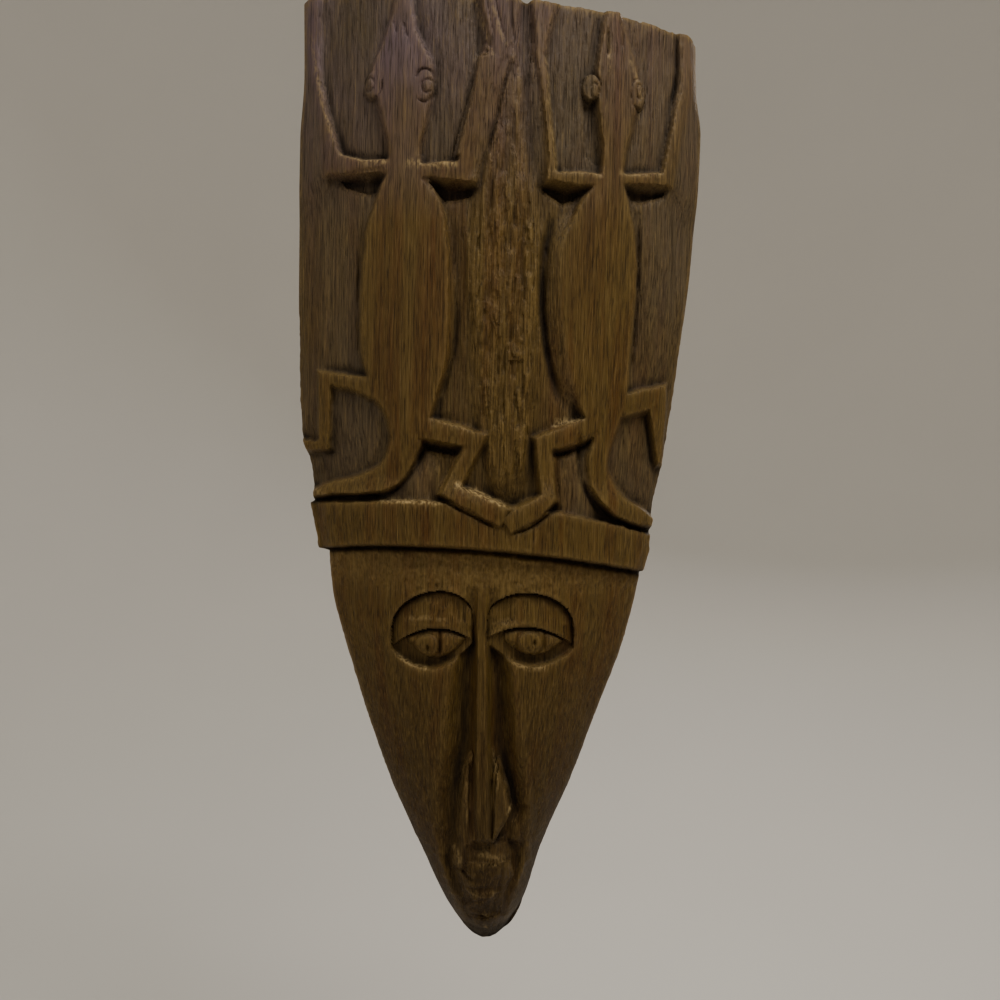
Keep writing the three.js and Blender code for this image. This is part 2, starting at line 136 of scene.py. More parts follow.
# Where the random patterns start, left of the middle and below the tip, and how far they go from there
PATTERN_LEFT = 300
PATTERN_BELOW = 100
PATTERN_WIDTH = 640
PATTERN_HEIGHT = 760


def cells(width, length, spare):
    return int(PATTERN_WIDTH / width) + spare, int(PATTERN_HEIGHT / length) + spare


def interpolated(values, x, y, ease):
    """Values of a grid at places counted in its cells; ease shapes the way from one to the next."""
    i = x.astype(int)
    j = y.astype(int)
    s = ease(x - i)
    low = mix(values[i, j], values[i + 1, j], s)
    high = mix(values[i, j + 1], values[i + 1, j + 1], s)
    return mix(low, high, ease(y - j))


def waves(across, up, width, length, seed):
    """Smooth random waves from -1 to 1 in cells of width by length."""
    heights = np.random.default_rng(seed).uniform(-1, 1, cells(width, length, 3))
    x = np.clip((across + PATTERN_LEFT) / width, 0, heights.shape[0] - 2.001)
    y = np.clip((up + PATTERN_BELOW) / length, 0, heights.shape[1] - 2.001)
    return interpolated(heights, x, y, lambda t: smooth(0, 1, t))


def scoops(across, up, width, length, seed):
    """Gouge cuts side by side: 0 on the sharp crests between them, down to -1 in their middles."""
    bent = across + 0.5 * width * waves(across, up, 2.4 * width, 0.6 * length, seed + 1)
    return -np.abs(waves(bent, up, width, length, seed))


def dimples(across, up, width, length, seed):
    """Scallops left by a flat gouge: -1 in the middle of each, 0 on the crisp ridges between them."""
    nudge = np.random.default_rng(seed).uniform(-0.38, 0.38, cells(width, length, 4) + (2,))
    x = (across + PATTERN_LEFT) / width + 1
    y = (up + PATTERN_BELOW) / length + 1
    i = x.astype(int)
    j = y.astype(int)
    furthest = 0.7
    nearest = np.full(x.shape, furthest)
    for column in (i - 1, i, i + 1):
        for row in (j - 1, j, j + 1):
            middle = nudge[column, row]
            away = (x - column - 0.5 - middle[..., 0]) ** 2 + (y - row - 0.5 - middle[..., 1]) ** 2
            nearest = np.minimum(nearest, away)
    return nearest / furthest - 1


def splinters(across, up, width, length, seed):
    """Slivers torn out along the grain, from 0 to -1 deep, with sharp sides and ends that run out."""
    random = np.random.default_rng(seed)
    columns = 700
    rows = 400
    start = random.uniform(0, 1, columns)
    level = random.uniform(0, 1, (columns, rows))
    wander = 0.9 * waves(across, up, 2.2 * width, 0.7 * length, seed + 1)
    column = np.clip((across + PATTERN_LEFT) / width + wander, 0, columns - 1).astype(int)
    row_at = (up + PATTERN_BELOW) / length + start[column]
    row = row_at.astype(int)
    along = row_at - row
    return -level[column, row] * smooth(0, 0.16, along) * smooth(1, 0.5, along)


# Lines and outlines

def rounded(points, steps=6):
    """A smooth line through a few points of [across, up] or [across, up, half width]."""
    rows = np.array(points, float)
    padded = np.vstack((2 * rows[0] - rows[1], rows, 2 * rows[-1] - rows[-2]))
    line = []
    for a, b, c, d in zip(padded, padded[1:], padded[2:], padded[3:]):
        bend = 2 * a - 5 * b + 4 * c - d
        twist = 3 * b - a - 3 * c + d
        for t in np.arange(steps) / steps:
            line.append(0.5 * (2 * b + (c - a) * t + bend * t**2 + twist * t**3))
    return np.vstack((line, rows[-1]))


def strip(rows):
    """The outline of a strip of changing half width along a line, with mitred corners."""
    rows = np.array(rows, float)
    steps = np.diff(rows[:, :2], axis=0)
    steps /= np.linalg.norm(steps, axis=1, keepdims=True)
    first = np.vstack((steps[:1], steps))
    second = np.vstack((steps, steps[-1:]))
    along = first + second
    along /= np.linalg.norm(along, axis=1, keepdims=True)
    reach = rows[:, 2] / np.maximum(0.6, (along * first).sum(1))
    side = np.stack((-along[:, 1], along[:, 0]), 1) * reach[:, None]
    return np.vstack((rows[:, :2] + side, (rows[:, :2] - side)[::-1]))


def within(corners, across, up, reach):
    """Which places lie no more than reach outside the box round the corners."""
    low = corners.min(0) - reach
    high = corners.max(0) + reach
    return (across > low[0]) & (across < high[0]) & (up > low[1]) & (up < high[1])


def along_side(x, y, ax, ay, dx, dy):
    """Share of a side that lies before the place nearest to each point."""
    return np.clip(((x - ax) * dx + (y - ay) * dy) / max(dx * dx + dy * dy, 1e-9), 0, 1)


def from_outline(outline, across, up, reach=16.0):
    """Distance from a closed outline, negative inside it, and no more than reach."""
    corners = np.array(outline, float)
    near = within(corners, across, up, reach)
    x = across[near]
    y = up[near]
    nearest = np.full(x.shape, reach**2)
    inside = np.zeros(x.shape, bool)
    for (ax, ay), (bx, by) in zip(corners, np.roll(corners, -1, axis=0)):
        dx = bx - ax
        dy = by - ay
        t = along_side(x, y, ax, ay, dx, dy)
        nearest = np.minimum(nearest, (x - ax - t * dx) ** 2 + (y - ay - t * dy) ** 2)
        if ay != by:
            inside ^= ((ay > y) != (by > y)) & (x < ax + (y - ay) * dx / dy)
    distance = np.full(across.shape, reach)
    distance[near] = np.where(inside, -1, 1) * np.sqrt(nearest)
    return distance


def from_line(line, across, up, reach=10.0):
    """Distance from an open line, no more than reach, and the share of it before the nearest place."""
    corners = np.array(line, float)
    near = within(corners, across, up, reach)
    x = across[near]
    y = up[near]
    nearest = np.full(x.shape, reach**2)
    place = np.zeros(x.shape)
    for i, ((ax, ay), (bx, by)) in enumerate(zip(corners, corners[1:])):
        dx = bx - ax
        dy = by - ay
        t = along_side(x, y, ax, ay, dx, dy)
        away = (x - ax - t * dx) ** 2 + (y - ay - t * dy) ** 2
        closer = away < nearest
        nearest[closer] = away[closer]
        place[closer] = (i + t[closer]) / (len(corners) - 1)
    distance = np.full(across.shape, reach)
    distance[near] = np.sqrt(nearest)
    share = np.zeros(across.shape)
    share[near] = place
    return distance, share


# The mask's outline: left and right edges by height above the tip

face_left = curve_through(
    (0, -5.6), (3, -10.2), (8, -14.4), (14, -18.2), (24, -23), (42, -31.3), (59, -40),
    (87, -52.8), (122, -66), (158, -77.6), (191, -87), (220, -90),
)
face_right = curve_through(
    (0, 7.6), (3, 13.4), (8, 17.2), (14, 19.8), (24, 22.6), (42, 27.5), (59, 34),
    (87, 46.2), (122, 58.9), (158, 72.2), (191, 81), (220, 86),
)
upper_left = curve_through(
    (210, -95), (238, -97.5), (260, -100), (274, -104.8), (300, -107.2), (370, -109),
    (440, -109.4), (475, -107.6), (516, -108.4),
)
upper_right = curve_through(
    (210, 87), (238, 89.2), (262, 94), (300, 99.8), (335, 104), (370, 108), (425, 112),
    (450, 112.6), (475, 109.4), (516, 108.3),
)
band_right = curve_through((203, 84.4), (215, 87.4), (240, 89.4))
BAND_LEFT_ENDS = (212.8, 239.3)
BAND_RIGHT_ENDS = (203.4, 224.6)
FACE_TOP = 225.0


def band_left(up):
    return mix(-94.4, -99.8, (up - 212) / 26)


def band_top(across):
    return 240.8 - np.where(across < -28, 0.0003, 0.00118) * (across + 28) ** 2


def band_bottom(across):
    return 216.6 - 0.00083 * (across + 42) ** 2 - 0.0011 * np.minimum(across + 60, 0) ** 2


def top_edge(across):
    return HEIGHT - TOP_DROP * smooth(-118, 22, across)


def fullness(up):
    """How much the cut edge stands out past the outline, which keeps its width once the edge is rounded."""
    return 1.0 * smooth(0, 30, up)


def left_edge(up):
    below, above = (smooth(end - 0.7, end + 0.7, up) for end in BAND_LEFT_ENDS)
    return mix(mix(face_left(up), band_left(up), below), upper_left(up), above) - fullness(up)


def right_edge(up):
    below, above = (smooth(end - 0.7, end + 0.7, up) for end in BAND_RIGHT_ENDS)
    return mix(mix(face_right(up), band_right(up), below), upper_right(up), above) + fullness(up)


# The smooth front before any carving

crown = curve_through((0, 6), (14, 18.8), (40, 27.8), (200, 36.1), (HEIGHT, 38))
SIDE_THICKNESS = 19.0
CROWN_FULLNESS = 2.2
RIM_PLACES = np.linspace(0, HEIGHT, 21)
rim_left = curve_through(
    *((up, face_left(up) - 3 if up < FACE_TOP else upper_left(up)) for up in RIM_PLACES)
)
rim_right = curve_through(
    *((up, face_right(up) + 2 if up < FACE_TOP else upper_right(up)) for up in RIM_PLACES)
)


def skin(across, up):
    left = rim_left(up)
    right = rim_right(up)
    from_middle = np.clip(np.abs(across - (left + right) / 2) / ((right - left) / 2), 0, 1)
    return SIDE_THICKNESS + crown(up) * (1 - from_middle**CROWN_FULLNESS)


# Lizards: [across, up, half width] along each part

LEFT_BODY = [
    [-52, 516, 2], [-53.4, 486, 9], [-52.8, 467, 16.8], [-50.6, 446, 13.2], [-50.8, 422, 9],
    [-49.6, 406, 14.5], [-48.8, 384, 21.6], [-48.8, 350, 24.4], [-48.4, 318, 23.6],
    [-47.4, 292, 16.5], [-47.6, 270, 9.4], [-55, 254.5, 7.6], [-70, 249, 5.6], [-88, 246.6, 4],
    [-102, 242.4, 2],
]
LEFT_LIMBS = [
    [[-50, 416, 5], [-72, 417.5, 4.4], [-90.5, 421, 6], [-95.6, 448, 3], [-101, 470, 3],
     [-103.6, 500, 4.4], [-104, 520, 4.6]],
    [[-50, 412, 5], [-36, 413, 4.6], [-17.4, 411.8, 6.4], [-9, 449, 6.8], [-5.4, 470, 7],
     [-3, 476, 7.4]],
    [[0.3, 470, 5.2], [-0.9, 485, 7.4], [-2.4, 514, 13]],
    [[-60, 299, 7], [-76, 302.4, 5.2], [-92.6, 305.4, 4.6], [-92.2, 270.6, 4.2],
     [-98, 269.8, 3.2], [-107, 271.2, 3]],
    [[-50, 281, 8], [-34, 278, 6.4], [-10.4, 272.6, 5.2], [-23, 246.4, 5], [-10, 239.8, 5.6],
     [6.6, 231.8, 6.4]],
]
RIGHT_BODY = [
    [58.6, 509, 2.6], [60.2, 488, 8], [61.8, 468, 12.6], [61.6, 450, 11], [60.4, 428, 7],
    [59.4, 412, 8], [56.8, 396, 15.4], [54.6, 374, 20.6], [54, 348, 21], [54.8, 322, 18.2],
    [57, 298, 15], [57.4, 276, 7.4], [55, 262, 6.2], [58.8, 250, 6.6], [68.6, 239.6, 6.2],
    [80, 234.6, 5.4], [91, 230.6, 3],
]
RIGHT_LIMBS = [
    [[58, 412, 4.4], [42, 411.4, 4.2], [27, 411.2, 3.4], [23.2, 447, 2.4], [19.6, 474, 3],
     [20.2, 487, 4.4], [22, 508, 8]],
    [[60, 413, 4.4], [74, 415.4, 3.4], [92, 418.6, 4.4], [97.2, 447, 4], [102.6, 468, 4.4],
     [104.6, 490, 5], [103, 506, 4]],
    [[58, 291, 8], [72, 295, 6.6], [90.6, 300.4, 6.4], [93.2, 262.6, 2.6]],
    [[58, 284, 7], [46, 279, 6.8], [25.6, 271.6, 5.4], [28.4, 243.6, 4.6], [19.4, 236, 6],
     [5.6, 228, 5.4]],
]

# The round gap between the left lizard's outer leg and its tail
LEG_GAP = [
    [-88, 301.4], [-78, 299], [-69.5, 295.6], [-62, 290.6], [-57.4, 283.6], [-55.4, 274], [-57.4, 265.6],
    [-63, 259.8], [-72, 256.6], [-86, 253.6], [-89, 264],
]

# Lizards' eyes: middle, half width and half height of the ring, then middle and half sizes of its core
LIZARD_EYES = [
    ((-68, 460.6), (5, 7.4), (-69.8, 461), (1.9, 2.9)),
    ((-40.4, 457.6), (5.4, 8.6), (-38.8, 457), (2.7, 2.9)),
    ((47.2, 460.2), (5, 7.2), (49, 458), (1.8, 3.4)),
    ((73.6, 461), (4.2, 8), (74, 462), (1.5, 3.2)),
]

# Deep knife cuts under the arms and thighs and beside a head: outline and depth
POCKETS = [
    ([[-87.6, 414.6], [-62, 415.4], [-61.6, 411], [-64.8, 404.4], [-70, 403], [-83, 408.4]], 3.6),
    ([[-40, 408.6], [-12.6, 405.6], [-13.4, 400.6], [-19, 398.4], [-29.4, 397.2]], 4.4),
    ([[20, 406], [26, 408.6], [44, 405.6], [40, 400.6], [33.6, 397.6], [27, 401]], 4.4),
    ([[67.4, 411.2], [93, 414.6], [91, 409.6], [76, 403.4], [70.6, 404]], 3.4),
    ([[-39, 272.6], [-15.8, 268.4], [-19, 263.6], [-36, 266.6]], 3.6),
    ([[29, 267.6], [40, 271.6], [54.4, 278.6], [53, 272.6], [40, 266.6], [30, 263.6]], 2.6),
    ([[42, 453], [49.6, 453], [54.6, 420], [50, 418.6], [44.4, 424]], 1.6),
    ([[-20.4, 514], [-15, 514], [-9.4, 485], [-6, 472.8], [-14.8, 472.6], [-16.6, 486]], 1.6),
    ([[23.4, 492], [26.4, 492], [23, 479.6]], 1.2),
]

# Dark lines cut with the corner of a tool: points, half width and depth
CUTS = [
    ([[-51.8, 491], [-50, 483.6]], 1.0, 1.2),
    ([[-57.8, 493], [-56, 486.4]], 0.9, 0.8),
    ([[-72.6, 396], [-74.4, 372], [-74.6, 340], [-73.2, 314]], 1.5, 1.2),
    ([[-21.6, 344], [-22.4, 322], [-27.4, 298]], 1.7, 1.0),
    ([[-24.6, 420], [-19, 446], [-13.6, 470]], 2.4, 1.0),
    ([[-11.4, 411], [-4, 434.4], [-0.2, 452.5], [4.4, 470]], 1.5, 1.5),
    ([[-6, 514], [-3.6, 498], [1, 480]], 0.9, 0.8),
    ([[6, 514], [4, 497], [5.6, 480]], 1.4, 1.5),
    ([[-10.6, 514], [-8, 497], [-4.6, 482]], 0.7, 0.6),
    ([[20.8, 508], [19.6, 488]], 0.9, 0.7),
    ([[-99.4, 266.8], [-87, 266.4]], 1.1, 1.4),
    ([[-100, 240.2], [-80, 242.2], [-58, 243]], 1.2, 2.2),
    ([[-37, 270], [-42.4, 258], [-48, 249.6], [-57.6, 243.2]], 1.5, 2.0),
    ([[-17.4, 267], [-22.8, 257], [-27.4, 246.5], [-28.6, 242]], 1.3, 1.4),
    ([[-28, 241.6], [-14, 234.6], [1.2, 227.4]], 1.1, 2.0),
    ([[55.6, 492], [55.9, 478]], 1.3, 1.6),
    ([[63.2, 496], [63.8, 484]], 1.0, 1.0),
    ([[96.4, 503], [97.6, 482], [94.6, 462]], 1.9, 1.8),
    ([[84, 289], [86.2, 276], [88.6, 263]], 1.6, 1.2),
    ([[45, 277], [45.2, 260], [50, 246], [58, 236.6]], 2.0, 1.8),
    ([[10.6, 224.6], [20, 228.2], [32, 237.2]], 1.2, 2.0),
    ([[60, 236], [70, 231.2], [80, 227.4], [90, 226.2]], 1.2, 1.7),
    ([[76.6, 398], [76, 350], [73.8, 310]], 1.6, 1.4),
]

# Flat facets left by a broad chisel on the ridge between the lizards, on the left one's inner forearm and
# beside the right one's: outline, depth in the middle, and how much deeper they get for each millimetre
# across and up
CHISEL_FACETS = [
    ([[-8.4, 345.4], [0.9, 346.6], [1.3, 327.5], [-4.1, 339.3]], 1.0, -0.04, 0.14),
    ([[6.6, 323.5], [12.8, 323.7], [13.5, 315.9], [7.3, 315.7]], 1.2, 0.04, 0.2),
    ([[-6, 303], [-1.4, 304], [-0.4, 289], [-4.4, 291]], 1.1, 0.16, 0.05),
    ([[2.4, 372], [7.2, 371], [6.4, 352], [3, 356]], 1.0, -0.16, 0.04),
    ([[-24.6, 419], [-20.5, 436], [-14.4, 459], [-11.6, 472], [-5.2, 472], [-6.2, 459], [-8.8, 452],
      [-12.8, 437.6], [-17, 422]], 0.7, -0.24, 0.055),
    ([[-17, 422], [-12.8, 437.6], [-8.8, 452], [-6.2, 459], [-1.6, 469], [4.6, 478], [-0.4, 452.5],
      [-4, 434.4], [-11, 412], [-17, 410]], 1.1, 0.22, -0.06),
    ([[12.2, 458], [14.6, 439], [17.6, 418], [23, 410], [24.4, 420], [21.4, 445], [19.6, 460],
      [14.6, 480]], 4.0, -0.4, -0.07),
]

# The groove that a broad slope runs down to, left of the right lizard's body
SLOPE_GROOVE = [
    [28.6, 390], [26.4, 377.8], [24.1, 362.1], [23.4, 346.5], [24.8, 331], [27.7, 315.5],
    [32.2, 302.7], [36.8, 289.8],
]


# Relief of the upper part

ridge_half_width = curve_through((245, 8), (300, 17), (360, 22), (420, 13), (500, 9))
ground_fade = curve_through((240, 1), (410, 1), (460, 0.85), (HEIGHT, 0.6))
left_crest = curve_through((405, -91), (421, -92), (448, -95.6), (470, -101), (500, -103.4), (516, -103.6))
right_crest = curve_through((405, 91), (419, 92.4), (447, 97.4), (468, 102.8), (490, 104.4), (516, 103.6))


def ridge(across, up):
    away = np.abs(across - mix(7, 1, (up - 240) / 200)) / ridge_half_width(up)
    return (1 - smooth(0.55, 1.25, away)) * smooth(238, 262, up)


def lizard_distance(body, limbs, across, up):
    distance = from_outline(strip(rounded(body)), across, up)
    for limb in limbs:
        distance = np.minimum(distance, from_outline(strip(limb), across, up))
    return distance


def hand_cut(across, up, seed):
    """How far a knife wandered off its line."""
    return 0.35 * waves(across, up, 5, 7, seed) + 0.2 * waves(across, up, 1.7, 2.6, seed + 2)


def cut_facets(facets, across, up, depth, seed):
    """Cuts flat facets whose edges a chisel left slightly uneven."""
    for outline, middle_depth, by_across, by_up in facets:
        edge = from_outline(outline, across, up, 5) + 0.25 * waves(across, up, 5, 7, seed)
        middle = np.mean(outline, axis=0)
        flat = middle_depth + by_across * (across - middle[0]) + by_up * (up - middle[1])
        flat = flat - 0.4 * (0.5 + dimples(across, up, 6, 9, seed + 1))
        depth = mix(depth, flat, smooth(0.7, -0.7, edge))
    return depth


def upper_relief(sizes, across, up):
    """Depth below the skin of the board with the lizards, where it is rough and where it is ground."""
    middle = ridge(across, up)
    flush = smooth(0, 8, across - 76) * smooth(292, 335, up) * (1 - smooth(365, 404, up))
    to_rim = np.minimum(across - upper_left(up), upper_right(up) - across)
    at_rim = smooth(15, 6, to_rim) * smooth(392, 420, up)
    near_band = smooth(270, 250, up) * smooth(-62, -56, across) * smooth(-24, -30, across)
    right_of_foot = smooth(268, 246, up) * smooth(32, 36, across) * smooth(60, 50, across)
    near_band = np.maximum(near_band, right_of_foot)
    ground = mix(sizes.ground_depth / MM, sizes.ridge_depth / MM, middle) * ground_fade(up)
    ground = mix(ground, 3.2, flush)
    ground = mix(ground, 2.4, at_rim)
    ground = mix(ground, 2.6, near_band)
    flutes = scoops(across, up, 4.6, 70, 21) * mix(0.6, 1.3, middle)
    flutes += dimples(across, up, 5.4, 30, 23) * mix(0.7, 0.3, middle)
    torn = splinters(across, up, 1.7, 26, 25) * mix(0.3, 1.3, middle)
    torn += splinters(across, up, 3.8, 54, 26) * mix(0.2, 1.3, middle)
    rough = ground - flutes - torn - 1.7 * middle - 0.5
    rough += 0.35 * waves(across, up, 16, 60, 27)

    wobble = hand_cut(across, up, 11)
    left = lizard_distance(LEFT_BODY, LEFT_LIMBS, across, up)
    left = np.maximum(left, -from_outline(LEG_GAP, across, up)) + wobble
    right = lizard_distance(RIGHT_BODY, RIGHT_LIMBS, across, up) + wobble
    nearest = np.minimum(left, right)
    moat = smooth(0.2, 1.6, nearest) * (1 - smooth(2.0, 6.5, nearest))
    fresh = mix(0.0, 0.7, smooth(-0.5, 0.6, waves(across, up, 22, 26, 29)))
    rough += fresh * moat * (1 - 0.6 * middle) * (1 - 0.8 * flush) * (1 - at_rim) * (1 - near_band)

    groove, _ = from_line(rounded(SLOPE_GROOVE), across, up, 14)
    beside = smooth(288, 306, up) * (1 - smooth(378, 400, up)) * (across > 8) * (across < 54)
    sloping = 0.4 + 6.6 * np.clip(right / 9.6, 0, 1) ** 0.9
    past = smooth(0.5, 3.2, right - 9.6)
    rough = mix(rough, mix(sloping, rough, past), beside * (right < 14))
    rough += 1.1 * (1 - smooth(0.2, 1.7, groove)) * beside * (1 + 0.5 * waves(across, up, 3, 7, 39))

    soft = smooth(-30, -20, across) * (1 - smooth(-8, 0, across)) * smooth(300, 320, up)
    soft *= 1 - smooth(385, 400, up)
    wall = mix(mix(1.2, 2.6, soft), 2.0, at_rim)
    feet = sizes.feet_proud / MM * (1 - smooth(238, 256, up))
    inner = -nearest
    figure = -feet + 0.35 * (1 - smooth(0, 2.0, inner)) + 0.7 * (1 - smooth(0, 13, inner))
    figure += 0.2 * waves(across, up, 8, 30, 31) - 0.2 * dimples(across, up, 7, 46, 33) - 0.2
    figure -= 0.22 * splinters(across, up, 1.5, 22, 32)
    on_figure = np.clip((wall - nearest) / (2 * wall), 0, 1)
    on_figure = mix(on_figure, np.clip((0.9 - right) / 1.8, 0, 1), beside * (across < 52))
    depth = mix(rough, figure, on_figure)
    out = np.maximum(left_crest(up) - across, across - right_crest(up))
    shoulder = 0.4 + 2.6 * np.clip(out / 11, 0, 1) - 0.4 * dimples(across, up, 5, 34, 34)
    depth = mix(depth, shoulder, smooth(-0.4, 2.2, out) * smooth(404, 422, up))
    depth = cut_facets(CHISEL_FACETS, across, up, depth, 38)

    for middle_of, half, core, core_half in LIZARD_EYES:
        ring = np.hypot((across - middle_of[0]) / half[0], (up - middle_of[1]) / half[1])
        size = sum(half) / 2
        level = 0.7 - sizes.eye_boss_rise / MM * (1 - 0.7 * ring**2) + 0.4 * np.clip(nearest, 0, 8)
        depth = mix(depth, np.minimum(depth, level), smooth(1.05, 0.9, ring))
        broken = mix(0.1, 1.3, smooth(-0.5, 0.3, waves(across, up, 4, 4, 37)))
        depth = depth + 1.0 * broken * np.exp(-(((ring - 1) * size / 0.5) ** 2))
        inside = np.hypot((across - core[0]) / core_half[0], (up - core[1]) / core_half[1])
        core_size = sum(core_half) / 2
        depth = depth + 0.8 * np.exp(-(((inside - 1.2) * core_size / 0.5) ** 2)) * (ring < 0.92)
        depth = depth - 0.4 * smooth(1.0, 0.6, inside)

    rim = smooth(90, 99, across) * smooth(300, 330, up)
    depth = depth - rim * 1.1 * scoops(across, up, 4, 80, 35) * (1 - on_figure)
    off_figure = 1 - on_figure
    between = smooth(44, 28, np.abs(across - 3)) * smooth(430, 400, up)
    return depth, off_figure * mix(0.4, 1, middle), off_figure * (1 - middle) * (1 - 0.75 * between)


# Relief of the headband

def band_relief(sizes, across, up):
    depth = np.full(across.shape, -sizes.band_proud / MM)
    depth += 0.2 * waves(across, up, 6, 20, 41) - 0.4 * dimples(across, up, 6, 17, 43) - 0.3
    depth -= 0.35 * splinters(across, up, 1.6, 14, 45)
    depth += 4.2 * (1 - smooth(0, 10, across - left_edge(up)))
    depth += 2.4 * (1 - smooth(0, 7, right_edge(up) - across))
    return depth


# Relief of the face

nose_line = curve_through((0, 0.5), (58, -2.2), (85, -3.4), (190, -5.2), (230, -5.8))
strip_half = curve_through((57, 0.8), (64, 2), (80, 2.3), (100, 2.6), (190, 2.3), (200, 3), (207, 5))
nose_left = curve_through(
    (0, 4), (22, 9), (34, 13), (46, 16.5), (57, 15.6), (64, 14), (72, 13.4), (84, 12.2), (105, 9),
    (125, 7.4), (168, 6.4), (195, 4.4), (230, 4.4),
)
nose_right = curve_through(
    (0, 4), (22, 9), (34, 13), (46, 16.5), (56, 14), (60, 8), (66, 10.6), (75, 16), (82, 14.6),
    (94, 11.6), (105, 10), (125, 8.8), (168, 7.4), (195, 4.6), (230, 4.4),
)
cheek_brink = curve_through(
    (0, 7), (22, 15), (46, 23), (62, 26), (84, 26), (105, 23), (150, 18), (176, 13), (196, 9), (230, 9),
)
valley = curve_through(
    (0, 0), (20, 0.1), (40, 0.5), (60, 0.75), (84, 0.95), (120, 1), (160, 0.9), (182, 0.4), (198, 0),
)
nose_rise = curve_through((62, 0.9), (68, 1), (84, 0.9), (120, 0.3), (165, 0), (230, 0))
lips = curve_through(
    (10, 0.1), (24, 0.2), (29, 0.35), (33, 0.75), (38, 0.95), (43, 0.86), (46.2, 0.62), (49, 0.86),
    (53, 1), (57, 0.9), (60, 0.6),
)

FACE_CUTS = [
    ([[-8.4, 102], [-8.2, 85], [-7.9, 71], [-5.8, 60]], 2.8, 2.6),
    ([[1.4, 96], [1.8, 80], [2.6, 62]], 1.9, 1.8),
    ([[-13, 43], [-10.2, 41.2], [-7.6, 39.2]], 2.0, 1.8),
    ([[-29, 197.6], [-28.8, 194.4]], 0.9, 1.0),
    ([[-3, 17.4], [0.6, 16.2]], 0.9, 0.8),
    ([[62, 144], [69, 139]], 0.9, 0.7),
    ([[61, 133], [72, 130]], 0.9, 0.6),
]

# A thin ridge beside the end of the nose: points, half width and rise
FACE_SWELLS = [
    ([[2.4, 109], [4.2, 98], [5, 88]], 1.3, 1.6),
]
# Flat facets of the end of the nose, the lips and the chin, given as those above
FACE_FACETS = [
    ([[-9.4, 108], [-13, 99], [-14.8, 84], [-16.4, 67], [-18, 56], [-9.4, 56]], 7.6, -0.6, -0.02),
    ([[3.4, 97], [5.4, 104], [7.5, 97], [10.6, 87.3], [12.6, 77.4], [11.2, 73.6], [7.6, 67.6], [3.4, 60],
      [1.8, 62], [2.4, 80]], 4.7, 0.36, 0.05),
    ([[-19.5, 48], [-18, 55], [-13.2, 58.4], [-8, 57], [-8, 48], [-11.4, 46.4], [-18.4, 43.3]],
     7.2, -0.3, 0.12),
    ([[-8.6, 56.6], [3.4, 57], [3.2, 50], [1, 45.4], [-8.6, 45.4]], 4.5, 0.05, 0.26),
    ([[2.8, 58.6], [9.4, 60], [13, 51.4], [12.5, 44.5], [2.8, 46.6]], 6.4, 0.34, 0.2),
    ([[-9.4, 48.4], [3, 48.2], [12.4, 47.2], [14.2, 38.7], [9.2, 31], [-4, 30.4], [-8.8, 38.6]],
     4.8, 0.06, -0.15),
    ([[-9, 34], [-5.8, 28], [4.6, 28.4], [7, 34]], 5.2, 0.04, 0.26),
    ([[-10.4, 21.4], [-4.6, 29.4], [5, 29.6], [7.6, 18.3], [0, 15.6], [-8.4, 16]], 5.8, 0.06, -0.1),
]


def face_relief(sizes, across, up):
    """Depth below the skin of the long face, with its nose, lips and eyes."""
    setback = sizes.face_setback / MM
    offset = across - nose_line(up)
    distance = np.abs(offset)
    foot = np.where(offset < 0, nose_left(up), nose_right(up))
    brink = np.maximum(cheek_brink(up), foot + 4)
    floor = sizes.valley_depth / MM * valley(up)
    on_nose = smooth(55.5, 63, up)
    half = strip_half(up)
    t = np.clip((distance - half) / np.maximum(0.8, foot - half), 0, 1)
    top = mix(floor - sizes.lip_rise / MM * lips(up), -sizes.nose_tip_rise / MM * nose_rise(up), on_nose)
    steep = mix(mix(t, smooth(0, 1, t), 0.6), 1 - (1 - t) ** 2.4, smooth(92, 118, up))
    slope = mix(t**3, steep, on_nose)
    rise = np.clip((distance - foot - 1.5) / (brink - foot - 1.5), 0, 1)
    climb = mix(rise, smooth(0, 1, rise), 0.7)
    depth = np.where(distance < foot, mix(top, floor, slope), mix(floor, 0, climb))
    depth = depth + setback
    for points, width, rise_by in FACE_SWELLS:
        away, _ = from_line(rounded(points), across, up)
        depth = depth - rise_by * (1 - smooth(0, width, away))
    depth = cut_facets(FACE_FACETS, across, up, depth, 54)
    chisel = smooth(150, 40, up)
    depth = depth - mix(0.35, 0.75, chisel) * (0.5 + dimples(across, up, 7.5, 13, 52))
    depth = depth - 0.55 * smooth(66, 54, up) * (0.5 + dimples(across, up, 3.6, 4.4, 56))
    for eye in EYES:
        depth = eye_relief(sizes, eye, across, up, depth)
    depth = cut_lines(FACE_CUTS, across, up, depth, 51)
    below_band = band_bottom(across) - up
    depth += 2.4 * (1 - smooth(0.4, 3.4, below_band))
    pitted = smooth(186, 198, up)
    pits = 0.45 * pitted * waves(across, up, 2.4, 1.9, 55)
    depth += pits - 0.5 * pitted * dimples(across, up, 4, 3.4, 58)
    depth += 0.25 * waves(across, up, 12, 36, 57) - 0.25 * splinters(across, up, 1.6, 18, 59)
    return depth


def bowed(start, end, middle, power):
    """A line between two ends that bows through a middle height; a low power makes it fuller."""
    bow = middle - (start + end) / 2
    return lambda t: mix(start, end, t) + bow * np.sin(np.pi * np.clip(t, 0, 1)) ** power


